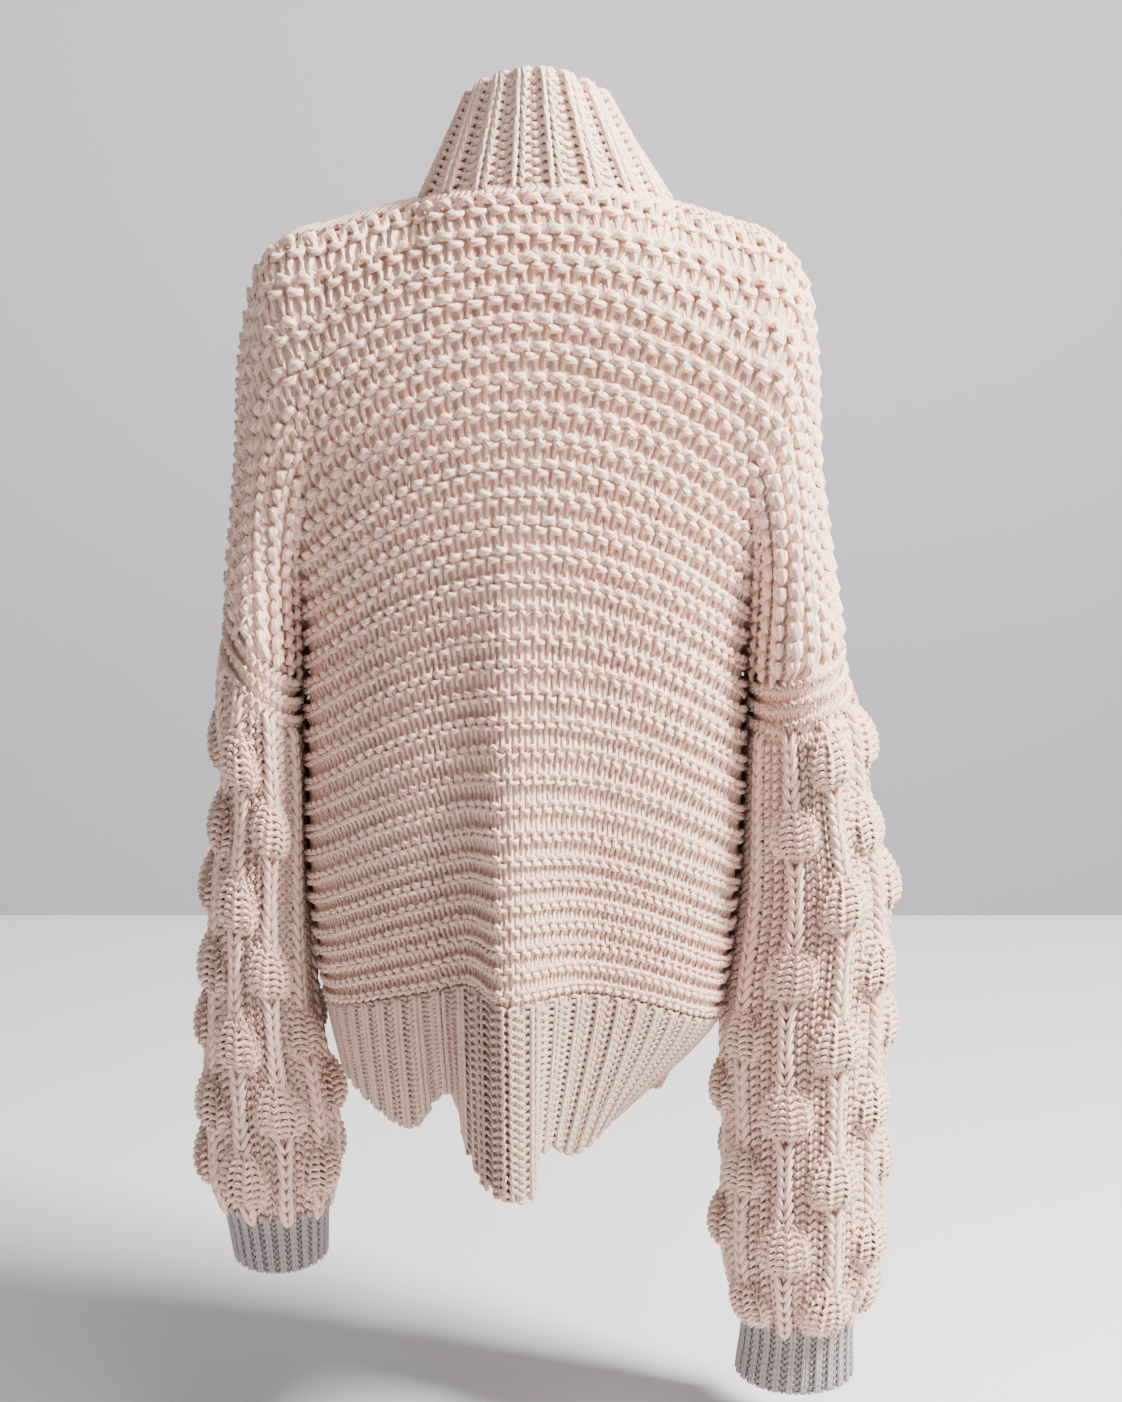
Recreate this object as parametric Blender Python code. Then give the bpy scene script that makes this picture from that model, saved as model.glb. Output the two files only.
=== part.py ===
"""An open-front cardigan in heavy hand knitting, hanging filled out from its shoulders.

Metres, +Z up. The front faces -Y, the wearer's left is +X, and the origin is inside the back
neck. Each knitted piece is a wall: a plain inside, and an outside raised into its ridges, ribs
and bobbles. A row is one garter ridge, counted down the centre back from the neck.
"""

import bpy
import numpy as np

WALL = 0.004  # the knitted cloth
SEAM = 0.0003  # between pieces that are sewn together
SEAM_SIDE = SEAM / 2
RIDGE = 0.0044  # how far a garter ridge stands up
RIB = 0.0042  # how far a knit rib stands up
CUFF_RIB = 0.0034
BOBBLE = 0.011

RIDGES = 30  # from the neck to the hem band
UNDERARM = 14  # the row where the sleeve seam ends
NECK_MIDDLE = -0.016
NECK_HALF = 0.098
NECK_BACK = 0.062
SHOULDER_ROUND = 0.11  # the drop over which the shoulder turns from flat to upright
BRIDGE = 0.18  # the share of the wing's columns that crosses the valley beside the body

# drop of the row at the centre back; the body's left and right side; the depth of back and
# front; how far the row drops at the side; the depth of the valley beside the sleeve; and the
# centre back fold, by height
BODY = {
    "drop": (0.0, 0.10, 0.20, 0.31, 0.40, 0.50, 0.60, 0.636),
    "left": (0.160, 0.172, 0.179, 0.180, 0.182, 0.182, 0.172, 0.167),
    "right": (-0.176, -0.180, -0.181, -0.178, -0.180, -0.175, -0.165, -0.159),
    "back": (0.085, 0.101, 0.110, 0.114, 0.117, 0.121, 0.125, 0.123),
    "front": (0.080, 0.100, 0.114, 0.122, 0.126, 0.128, 0.126, 0.122),
    "side_drop": (0.030, 0.066, 0.084, 0.084, 0.078, 0.068, 0.052, 0.042),
    "valley": (0.070, 0.078, 0.054, 0.0024, 0.0, 0.0, 0.0, 0.0),
    "fold": (0.0, 0.0, 0.0, 0.004, 0.010, 0.024, 0.044, 0.054),
}
LOW_RIGHT = 0.016  # how much lower the right side hangs at the hem than the left one
FOLD_X = 0.016
FOLD_LEFT = 0.017  # the fold's steep side
FOLD_RIGHT = 0.046
ROW_PITCH = (0.0222, 0.0172)  # on the body and just above the hem band
PITCH_CHANGE = 23

# where the dropped shoulder's outer edge is, down from the shoulder tip
WING = {
    "step": (0.0, 0.08, 0.25, 0.60, 1.0),
    "left_x": (0.199, 0.210, 0.223, 0.231, 0.243),
    "left_z": (-0.045, -0.060, -0.112, -0.215, -0.330),
    "right_x": (-0.208, -0.220, -0.229, -0.236, -0.258),
    "right_z": (-0.050, -0.070, -0.118, -0.230, -0.368),
    "depth": (0.060, 0.063, 0.068, 0.079, 0.078),
}

# the front edge that the band is knitted onto
FRONT_EDGE = {
    "row": (0.0, 2.0, 6.0, 10.0, 20.0, 30.0),
    "x": (0.082, 0.089, 0.103, 0.110, 0.111, 0.110),
}
FRONT_LOWER = 0.034  # the front's hem band starts this far below the back's

# hem band, from the right side to the left: place across the back, drop and move in
HEM = {
    "across": (-1.0, -0.6, -0.25, -0.10, -0.06, -0.03, 0.06, 0.16, 0.19, 0.23, 0.41, 0.62, 0.76, 0.95, 1.0),
    "drop": (0.064, 0.092, 0.138, 0.132, 0.138, 0.160, 0.165, 0.162, 0.148, 0.108, 0.114, 0.086, 0.068, 0.055, 0.052),
}
HEM_MIDDLE = 0.0
HEM_RIGHT = 0.53  # the right side is drawn in to this share of its width
HEM_LEFT = 0.93
HEM_FRONT_LEFT = 0.93
HEM_FRONT_RIGHT = 0.95
HEM_FRONT_DROP = 0.088
HEM_PULL = 0.94  # of its depth
HEM_RIB = 0.0172

# the band's direction away from its edge, from the hem up to the back of the neck
BAND = {
    "row": (-4.0, 0.0, 2.5, 6.0, 10.0, 30.0),
    "x": (-0.49, -0.49, -0.66, -0.86, -0.97, -0.97),
    "y": (-0.18, -0.14, -0.40, -0.42, -0.22, -0.20),
    "z": (0.98, 0.80, 0.58, 0.26, 0.02, 0.0),
    "tilt": (0.06, 0.06, 0.03, 0.0, 0.0, 0.0),
}
BAND_WIDTH = 0.092
BAND_RIB = 0.030

SLEEVE_LEFT = {
    "z": (-0.42, -0.49, -0.568, -0.69, -0.80, -0.845, -0.863, -0.914),
    "inner": (0.191, 0.190, 0.190, 0.187, 0.172, 0.174, 0.178, 0.181),
    "outer": (0.253, 0.250, 0.261, 0.269, 0.274, 0.271, 0.264, 0.254),
    "depth": (0.078, 0.073, 0.070, 0.067, 0.064, 0.058, 0.050, 0.045),
}
SLEEVE_RIGHT = {
    "z": (-0.43, -0.49, -0.568, -0.69, -0.80, -0.93, -0.966, -1.027),
    "inner": (-0.188, -0.187, -0.185, -0.1735, -0.177, -0.181, -0.192, -0.188),
    "outer": (-0.276, -0.281, -0.299, -0.302, -0.300, -0.297, -0.285, -0.284),
    "depth": (0.080, 0.077, 0.074, 0.072, 0.069, 0.062, 0.050, 0.046),
}
SLEEVE_EASE = 0.09  # over which the sleeve leaves the armhole's shape
BOBBLES_ROUND = 10
BOBBLE_DROP = 0.123
BOBBLE_SIZE = (0.021, 0.026)

WOOL = (0.79, 0.63, 0.55)


def smooth(table, column, at):
    """The column's value where the table's first column is `at`, along a smooth curve."""
    places = np.array(next(iter(table.values())), float)
    values = np.array(table[column], float)
    if places[0] > places[-1]:
        places, values = places[::-1], values[::-1]
    slopes = np.gradient(values, places)
    at = np.clip(np.asarray(at, float), places[0], places[-1])
    low = np.clip(np.searchsorted(places, at) - 1, 0, len(places) - 2)
    step = places[low + 1] - places[low]
    part = (at - places[low]) / step
    square, cube = part**2, part**3
    start = values[low] * (2 * cube - 3 * square + 1) + slopes[low] * step * (cube - 2 * square + part)
    end = values[low + 1] * (3 * square - 2 * cube) + slopes[low + 1] * step * (cube - square)
    return start + end


def drop_of(row):
    """How far a row is below the neck at the centre back."""
    row = np.asarray(row, float)
    return ROW_PITCH[0] * np.minimum(row, PITCH_CHANGE) + ROW_PITCH[1] * np.maximum(row - PITCH_CHANGE, 0)


def round_off(drop):
    """0 on top of the shoulder, 1 where the cloth hangs upright."""
    left = 1 - np.clip(drop / SHOULDER_ROUND, 0, 1)
    return np.sqrt(1 - left**2)


def fold(x, drop, across):
    """The fold down the centre back, which stands out more towards the hem."""
    away = x - FOLD_X
    width = np.where(away > 0, FOLD_LEFT, FOLD_RIGHT)
    height = smooth(BODY, "fold", drop)
    hollow = 0.22 * np.exp(-(((away - 0.036) / 0.020) ** 2))
    return height * (np.exp(-((away / width) ** 2)) - hollow) * np.cos(across * np.pi / 2)


def body(across, row, face):
    """A point of the body's wall. across is -1 at the right side, 1 at the left; face 1 is back."""
    across, row = np.broadcast_arrays(np.asarray(across, float), np.asarray(row, float))
    drop = drop_of(row)
    side = np.where(across > 0, smooth(BODY, "left", drop), smooth(BODY, "right", drop))
    depth = smooth(BODY, "back" if face > 0 else "front", drop)
    valley = np.maximum(smooth(BODY, "valley", drop), 0)
    valley = np.where(row >= UNDERARM + 0.5, 0, valley)
    turn = np.arccos(np.clip(valley / depth, 0, 1) ** (1 / 0.8))
    middle = NECK_MIDDLE * np.exp(-((drop / 0.12) ** 2))
    size = np.abs(across)
    x = middle + (side - middle) * np.sin(size * turn) / np.sin(turn)
    y = depth * np.cos(size * turn).clip(0) ** 0.8
    most = smooth(BODY, "side_drop", drop) + np.where(across > 0, 0, LOW_RIGHT) * (drop / 0.636) ** 4
    lower = most * ((x - middle) / (side - middle)) ** 2
    if face < 0:
        lower = lower + FRONT_LOWER * (1 - size**2) * drop / 0.636
    z = -drop - lower
    from_neck = np.abs(x - NECK_MIDDLE) / NECK_HALF
    start_y = NECK_BACK * np.sqrt(np.clip(1 - from_neck**2, 0, 1)) if face > 0 else 0 * x
    turned = round_off(drop * (1 + 0.25 * np.clip(from_neck, 0, 1)))
    y = start_y + (y - start_y) * turned
    if face > 0:
        y = y + fold(x, drop, across)
    return np.stack([x, face * y, z], axis=-1)


def wing(side, out, row, face):
    """A point of the dropped shoulder, beside the body; out goes from 0 there to 1 at its edge."""
    out, row = np.broadcast_arrays(np.asarray(out, float), np.asarray(row, float))
    near = body(np.full(out.shape, float(side)), row, face)
    name = "left" if side > 0 else "right"
    step = (row / UNDERARM).clip(0, 1)
    far_x, far_z = smooth(WING, name + "_x", step), smooth(WING, name + "_z", step)
    depth = smooth(WING, "depth", step) * round_off(drop_of(row) * 1.25)
    valley = face * near[..., 1]
    bridge = 0.012 * side * step**0.8
    crossing = (out / BRIDGE).clip(0, 1)
    around = ((out - BRIDGE) / (1 - BRIDGE)).clip(0, 1)
    start = near[..., 0] + bridge
    turn = np.pi * around
    level = (valley / np.maximum(depth, 1e-6)).clip(0, 1)
    share = (1 - level) * (1 - np.cos(turn)) / 2 + level * np.sin(turn / 2)
    x = np.where(around > 0, start + (far_x - start) * share, near[..., 0] + bridge * crossing)
    y = (1 - level) * depth * np.sin(turn).clip(0) ** 0.9 + valley * np.cos(turn / 2).clip(0)
    z = near[..., 2] + (far_z - near[..., 2]) * (1 - np.cos(turn)) / 2
    return np.stack([x, face * y, z], axis=-1)


def hem(across, down, face):
    """A point of the hem band, down from 0 at its seam to 1 at its edge."""
    top = body(across, np.full(np.shape(across), float(RIDGES)), face)
    across, down = np.broadcast_arrays(np.asarray(across, float), np.asarray(down, float))
    if face > 0:
        drop = smooth(HEM, "drop", across)
    else:
        side_drop = np.where(across > 0, HEM["drop"][-1], HEM["drop"][0])
        drop = HEM_FRONT_DROP + (side_drop - HEM_FRONT_DROP) * np.abs(across) ** 6
    share = np.where(across > 0, HEM_LEFT, HEM_RIGHT)
    if face < 0:
        middle = np.where(across > 0, HEM_FRONT_LEFT, HEM_FRONT_RIGHT)
        share = share + (middle - share) * (1 - np.abs(across) ** 3)
    ease = down**1.25
    x = HEM_MIDDLE + (top[..., 0] - HEM_MIDDLE) * (1 + (share - 1) * ease)
    y = top[..., 1] * (1 + (HEM_PULL - 1) * ease)
    z = top[..., 2] - drop * down
    return np.stack([x, y, z], axis=-1)


def sleeve(side, around, z_or_down, table, top_rows):
    """A point of the sleeve. around is 0 at the outer edge, 0.25 behind, 0.5 inside, 0.75 in front."""
    around, down = np.broadcast_arrays(np.asarray(around, float), np.asarray(z_or_down, float))
    low = table["z"][-1]
    turn = around * 2 * np.pi
    behind = np.sin(turn) >= 0
    ring = np.where(behind, 1 - around * 2, around * 2 - 1)
    out = BRIDGE + (1 - BRIDGE) * ring
    back = wing(side, out, np.full(out.shape, float(UNDERARM)), 1)
    front = wing(side, out, np.full(out.shape, float(UNDERARM)), -1)
    first = np.where(behind[..., None], back, front)
    z = first[..., 2] + (low - first[..., 2]) * down
    inner, outer = smooth(table, "inner", z), smooth(table, "outer", z)
    depth = smooth(table, "depth", z)
    middle, half = (inner + outer) / 2, (outer - inner) / 2
    own_x, own_y = middle + half * np.cos(turn), depth * np.sin(turn)
    keep = np.clip(1 - (first[..., 2] - z) / top_rows, 0, 1)
    keep = keep**2 * (3 - 2 * keep)
    x = own_x + (first[..., 0] - own_x) * keep
    y = own_y + (first[..., 1] - own_y) * keep
    return np.stack([x, y, z], axis=-1)


def normals(points, cells, closed):
    """Unit normals at a grid's points, from its cells of cloth."""
    over, under = points[1:, 1:] - points[:-1, :-1], points[:-1, 1:] - points[1:, :-1]
    facing = np.cross(over, under)
    facing = facing / np.maximum(np.linalg.norm(facing, axis=-1, keepdims=True), 1e-12)
    facing = facing * cells[..., None]
    normal = np.zeros(points.shape)
    for column in (0, 1):
        for row in (0, 1):
            wide, tall = facing.shape[:2]
            normal[column : column + wide, row : row + tall] += facing
    if closed:
        normal[0] = normal[-1] = normal[0] + normal[-1]
    return normal / np.maximum(np.linalg.norm(normal, axis=-1, keepdims=True), 1e-12)


def wall(name, points, relief, outward, keep_columns, keep_rows, cells=None, closed=False, level=(), ring=None):
    """One piece of cloth with closed rims: raised outside, and a plain inside with fewer points.

    points is a grid (columns, rows); relief raises the outside; cells says which of the grid's
    cells are cloth; keep_columns and keep_rows are the inside's own columns and rows. At a seam
    the rim lies in the seam's own plane: y = 0, or level for the grid places in level, or along
    the normals that ring gives for some places, which the piece on its other side has too.
    """
    columns, rows = points.shape[:2]
    if cells is None:
        cells = np.ones((columns - 1, rows - 1), bool)
    normal = normals(points, cells, closed) * outward
    normal[..., 1] = np.where(np.abs(points[..., 1]) < SEAM_SIDE * 1.01, 0, normal[..., 1])
    for column, row in level:
        normal[column, row, 2] = 0
    for place, facing in (ring or {}).items():
        normal[place] = facing
    normal = normal / np.maximum(np.linalg.norm(normal, axis=-1, keepdims=True), 1e-12)
    outer = points + normal * (WALL / 2 + relief)[..., None]
    inner = points - normal * WALL / 2
    wrap = columns - 1 if closed else columns
    spots, index = [], {}

    def spot(kind, column, row):
        key = (kind, column % wrap, row)
        if key not in index:
            index[key] = len(spots)
            spots.append((outer if kind == "out" else inner)[column % wrap, row])
        return index[key]

    def apart(first, second):
        return np.linalg.norm(spots[first] - spots[second])

    faces, edges = [], {}
    for column in range(columns - 1):
        for row in range(rows - 1):
            if not cells[column, row]:
                continue
            corners = [(column, row), (column + 1, row), (column + 1, row + 1), (column, row + 1)]
            if outward < 0:
                corners.reverse()
            ring = [(c % wrap, r) for c, r in corners]
            faces.append([spot("out", c, r) for c, r in ring])
            for start, end in zip(ring, ring[1:] + ring[:1]):
                if edges.pop((end, start), None) is None:
                    edges[(start, end)] = True
    for left, right in zip(keep_columns, keep_columns[1:]):
        for high, low in zip(keep_rows, keep_rows[1:]):
            if not cells[left, high]:
                continue
            corners = [(left, high), (left, low), (right, low), (right, high)]
            if outward < 0:
                corners.reverse()
            faces.append([spot("in", c, r) for c, r in corners])
    kept = {(c % wrap, r) for c in keep_columns for r in keep_rows}
    following = {start: end for start, end in edges}
    while following:
        start = next(place for place in following if place in kept)
        place, current = start, spot("in", *start)
        while place in following:
            after = following.pop(place)
            here, there = spot("out", *place), spot("out", *after)
            if after not in kept:
                faces.append([there, here, current])
            else:
                inside = spot("in", *after)
                shorter = place not in kept or apart(there, current) <= apart(here, inside)
                if shorter:
                    faces += [[there, here, current], [there, current, inside]]
                else:
                    faces += [[there, here, inside], [here, current, inside]]
                current = inside
            place = after
    mesh = bpy.data.meshes.new(name)
    mesh.from_pydata([tuple(spot_) for spot_ in spots], [], faces)
    mesh.validate()
    mesh.update()
    piece = bpy.data.objects.new(name, mesh)
    piece.data.materials.append(wool_of(name))
    garment.objects.link(piece)
    return piece


def wool_of(name):
    """The piece's own matt wool."""
    wool = bpy.data.materials.new(name + "_wool")
    wool.use_nodes = True
    shader = wool.node_tree.nodes["Principled BSDF"]
    shader.inputs["Base Color"].default_value = (*WOOL, 1)
    shader.inputs["Roughness"].default_value = 0.9
    return wool


def ridge_rows(first, last):
    """Two rows for each garter ridge: its valley and its crest."""
    return np.arange(first * 2, last * 2 + 1) / 2


def fade(place, first, last, width):
    """1 inside a piece and 0 at its two edges, so that nothing stands up at a seam."""
    return np.clip((place - first) / width, 0, 1) * np.clip((last - place) / width, 0, 1)


def near(values, wanted):
    """The index of the value nearest to each wanted one."""
    return sorted({int(np.argmin(np.abs(np.asarray(values) - place))) for place in wanted})


def rib_columns(length, pitch):
    """Places along a ribbed edge and how far each stands up: two stitches up, two down."""
    ribs = int(round(length / pitch))
    places, heights = [], []
    for rib in range(ribs):
        for part, height in ((0.0, 0), (0.20, 1), (0.50, 1), (0.70, 0)):
            places.append((rib + part + 0.15) / ribs)
            heights.append(height)
    return np.array([0.0] + places + [1.0]), np.array([0.0] + heights + [0.0])


# ---------------------------------------------------------------- scene

for leftover in list(bpy.data.objects):
    bpy.data.objects.remove(leftover)
garment = bpy.data.collections.new("open_front_cardigan")
bpy.context.scene.collection.children.link(garment)

# the body's columns: closer together at the centre back fold
BACK_LEFT = np.array([0.0, 0.055, 0.11, 0.165, 0.23, 0.32, 0.45, 0.60, 0.74, 0.87, 1.0])
BACK_RIGHT = np.array([0.07, 0.16, 0.28, 0.42, 0.57, 0.72, 0.86, 1.0])
SLEEVE_COLUMNS = 20
WING_OUT = BRIDGE + (1 - BRIDGE) * np.linspace(0, 1, SLEEVE_COLUMNS // 2 + 1)
BODY_ROWS = ridge_rows(0, RIDGES)
INSIDE_ROWS = [0, 2, 5, 9, 14, 21, 28, 35, 42, 48, 54, 60]
EVERY = slice(None)
LAST = -1
ARMHOLE = UNDERARM * 2


def ridge_height(row, first, last):
    """Garter ridges: a crest halfway between two rows, none at the seams."""
    return RIDGE * np.sin(np.pi * row) ** 2 * fade(row, first, last, 0.4)


def panel_with_wings(face, left_places, right_places, wings):
    """The grid of a front or back, its relief and its cells, from the right wing to the left."""
    row = BODY_ROWS[None, :]
    blocks, heights, kinds = [], [], []
    if -1 in wings:
        out = WING_OUT[::-1][:, None]
        blocks.append(wing(-1, out, row, face))
        heights.append(wing_height(out, row))
        kinds += ["wing"] * len(WING_OUT)
    body_places = np.array(list(-np.asarray(right_places)[::-1]) + list(left_places))
    blocks.append(body(body_places[:, None], row, face))
    at_side = fade(body_places[:, None], -1, 1, 0.03)
    heights.append(ridge_height(row, 0, RIDGES) * at_side)
    kinds += ["body"] * len(body_places)
    if 1 in wings:
        out = WING_OUT[:, None]
        blocks.append(wing(1, out, row, face))
        heights.append(wing_height(out, row))
        kinds += ["wing"] * len(WING_OUT)
    points, relief = np.concatenate(blocks), np.concatenate(heights)
    low = ARMHOLE
    cells = np.ones((len(kinds) - 1, len(BODY_ROWS) - 1), bool)
    for column in range(len(kinds) - 1):
        if "wing" in kinds[column : column + 2]:
            cells[column, low:] = False
    return points, relief, cells


def wing_height(out, row):
    """Ridges that run down the dropped shoulder, fading out at its edges."""
    count = np.searchsorted(WING_OUT, out - 1e-9)
    return RIDGE * (count % 2) * fade(row, 0, UNDERARM, 1.5) * fade(out, BRIDGE, 1, 0.06)


def open_seam(points, face):
    """Moves each point at the seam between back and front off it."""
    gap = np.where(np.abs(points[..., 1]) < SEAM_SIDE, face * SEAM_SIDE, points[..., 1])
    return np.stack([points[..., 0], gap, points[..., 2]], axis=-1)


def ring_normals(side):
    """Level normals round an armhole, at the sleeve's columns."""
    around = np.arange(SLEEVE_COLUMNS + 1) / SLEEVE_COLUMNS
    table = SLEEVE_LEFT if side > 0 else SLEEVE_RIGHT
    ring = sleeve(side, around, 0.0, table, SLEEVE_EASE)[:-1]
    along = np.roll(ring, -1, axis=0) - np.roll(ring, 1, axis=0)
    facing = np.stack([along[:, 1], -along[:, 0], 0 * along[:, 0]], axis=-1) * side
    facing = facing / np.linalg.norm(facing, axis=-1, keepdims=True)
    return np.concatenate([facing, facing[:1]])


def armhole_ring(side, face, first):
    """The same normals at the columns of a back or front that end at the armhole."""
    facing = ring_normals(side)
    half = SLEEVE_COLUMNS // 2
    outwards = facing[half::-1] if face > 0 else facing[half:]
    if face > 0 and side < 0:
        outwards = outwards[::-1]
    return {(first + step, ARMHOLE): outwards[step] for step in range(half + 1)}


# ---------------------------------------------------------------- back and fronts

points, relief, cells = panel_with_wings(1, BACK_LEFT, BACK_RIGHT, (-1, 1))
armholes = armhole_ring(1, 1, len(points) - len(WING_OUT)) | armhole_ring(-1, 1, 0)
points = open_seam(points, 1)
wall("back", points, relief, 1, range(len(points)), INSIDE_ROWS, cells, level=[(EVERY, LAST)], ring=armholes)


def front_panel(side):
    row = BODY_ROWS[None, :]
    part = np.array([0.0, 0.2, 0.42, 0.64, 0.84, 1.0])[:, None]
    edge = edge_place(side, BODY_ROWS)[None, :]
    across = side * (edge + (1 - edge) * part)
    blocks = [body(across, row, -1), wing(side, WING_OUT[:, None], row, -1)]
    heights = [
        ridge_height(row, 0, RIDGES) * fade(part, 0, 1, 0.1),
        wing_height(WING_OUT[:, None], row),
    ]
    points, relief = np.concatenate(blocks), np.concatenate(heights)
    low = int(np.argmin(np.abs(BODY_ROWS - UNDERARM)))
    cells = np.ones((len(points) - 1, len(BODY_ROWS) - 1), bool)
    cells[len(part) - 1 :, low:] = False
    return points, relief, cells


def edge_place(side, row):
    """Where across the front the band's edge is, so that its x follows FRONT_EDGE."""
    wanted = side * smooth(FRONT_EDGE, "x", row) + (0 if side > 0 else 1) * (
        2 * NECK_MIDDLE * np.exp(-((row / 5.0) ** 2))
    )
    tries = np.linspace(0, 1, 241)
    x = body(side * tries[:, None], np.asarray(row)[None, :], -1)[..., 0]
    found = [np.interp(side * wanted[i], side * x[:, i], tries) for i in range(len(row))]
    return np.array(found)


for side, name in ((1, "front_left"), (-1, "front_right")):
    points, relief, cells = front_panel(side)
    armhole = armhole_ring(side, -1, len(points) - len(WING_OUT))
    points = open_seam(points, -1)
    wall(name, points, relief, -side, range(len(points)), INSIDE_ROWS, cells, level=[(EVERY, LAST)], ring=armhole)

# ---------------------------------------------------------------- hem band

HEM_DOWN = np.array([0.0, 0.14, 0.86, 1.0])
HEM_KEEP = [0, 2, 3]


def hem_piece(name, first, last, face, ribs_length, outward):
    """A stretch of 2 by 2 rib from one place across to another."""
    places, heights = rib_columns(ribs_length, HEM_RIB)
    across = first + (last - first) * places
    points = hem(across[:, None], HEM_DOWN[None, :], face)
    relief = RIB * heights[:, None] * fade(HEM_DOWN, 0, 1, 0.12)[None, :]
    points[..., 2] -= SEAM * 3
    keep = [0] + list(range(1, len(places) - 1, 2)) + [len(places) - 1]
    wall(name, open_seam(points, face), relief, outward, keep, HEM_KEEP, level=[(EVERY, 0)])


edge_left, edge_right = edge_place(1, np.array([float(RIDGES)]))[0], edge_place(-1, np.array([float(RIDGES)]))[0]
hem_piece("hem_back", -1, 1, 1, 0.46, 1)
hem_piece("hem_front_left", edge_left, 1, -1, 0.14, -1)
hem_piece("hem_front_right", -edge_right, -1, -1, 0.14, 1)

# ---------------------------------------------------------------- collar and front bands


def band_grid(width_places):
    """The strip that is knitted on along the front edges and round the neck."""
    rows = np.linspace(0, RIDGES, 121)
    hems = np.linspace(0.02, 1, 18)
    edges, ways, tangents = [], [], []
    for side in (1, -1):
        place = edge_place(side, rows)
        front = body(side * place, rows, -1)
        inward = front - body(side * np.minimum(place + 0.05, 1), rows, -1)
        low = hem(np.full(hems.shape, side * place[-1]), hems, -1)
        low_in = low - hem(np.full(hems.shape, side * (place[-1] + 0.05)), hems, -1)
        edge, tangent = np.concatenate([front, low]), np.concatenate([inward, low_in])
        at = np.concatenate([rows, np.full(hems.shape, float(RIDGES))])
        way = np.stack([side * smooth(BAND, "x", at) + smooth(BAND, "tilt", at), smooth(BAND, "y", at), smooth(BAND, "z", at)], axis=-1)
        edges.append(edge)
        ways.append(way)
        tangents.append(tangent)
    turn = np.linspace(0, np.pi, 61)[1:-1]
    neck = np.stack([NECK_MIDDLE + NECK_HALF * np.cos(turn), NECK_BACK * np.sin(turn), 0 * turn], axis=-1)
    sides = edges[0][0, 2] * (1 - turn / np.pi) + edges[1][0, 2] * turn / np.pi
    neck[:, 2] = sides * np.abs(np.cos(turn)) ** 2
    at = -4 * np.sin(turn)
    neck_x = smooth(BAND, "x", at) * np.cos(turn) + smooth(BAND, "tilt", at)
    neck_way = np.stack([neck_x, smooth(BAND, "y", at), smooth(BAND, "z", at)], axis=-1)
    edge = np.concatenate([edges[0][::-1], neck, edges[1]])
    way = np.concatenate([ways[0][::-1], neck_way, ways[1]])
    length = np.linalg.norm(way, axis=-1, keepdims=True).clip(1, None)
    out = np.stack([-np.cos(turn), -np.sin(turn), 0 * turn], axis=-1)
    tangent = np.concatenate([tangents[0][::-1], out, tangents[1]])
    return edge, way / length, tangent / np.linalg.norm(tangent, axis=-1, keepdims=True)


edge, way, tangent = band_grid(None)
length = np.concatenate([[0], np.cumsum(np.linalg.norm(np.diff(edge, axis=0), axis=1))])
places, heights = rib_columns(length[-1], BAND_RIB)


def along_band(values):
    return np.stack([np.interp(places * length[-1], length, values[:, i]) for i in range(3)], axis=-1)


edge, way, tangent = along_band(edge), along_band(way), along_band(tangent)
bend = np.sqrt(np.clip(1 - (way * tangent).sum(axis=-1) ** 2, 0, 1))
start = SEAM + (WALL / 2 + 0.0013) * bend
BAND_ACROSS = np.array([0.0, 0.12, 0.88, 1.0])
width = start[:, None] + BAND_WIDTH * BAND_ACROSS[None, :]
points = edge[:, None, :] + way[:, None, :] * width[..., None]
relief = RIB * heights[:, None] * fade(BAND_ACROSS, 0, 1, 0.1)[None, :]
keep = [0] + list(range(1, len(places) - 1, 2)) + [len(places) - 1]
wall("collar_and_bands", points, relief, 1, keep, [0, 2, 3])

# ---------------------------------------------------------------- sleeves and cuffs

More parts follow.
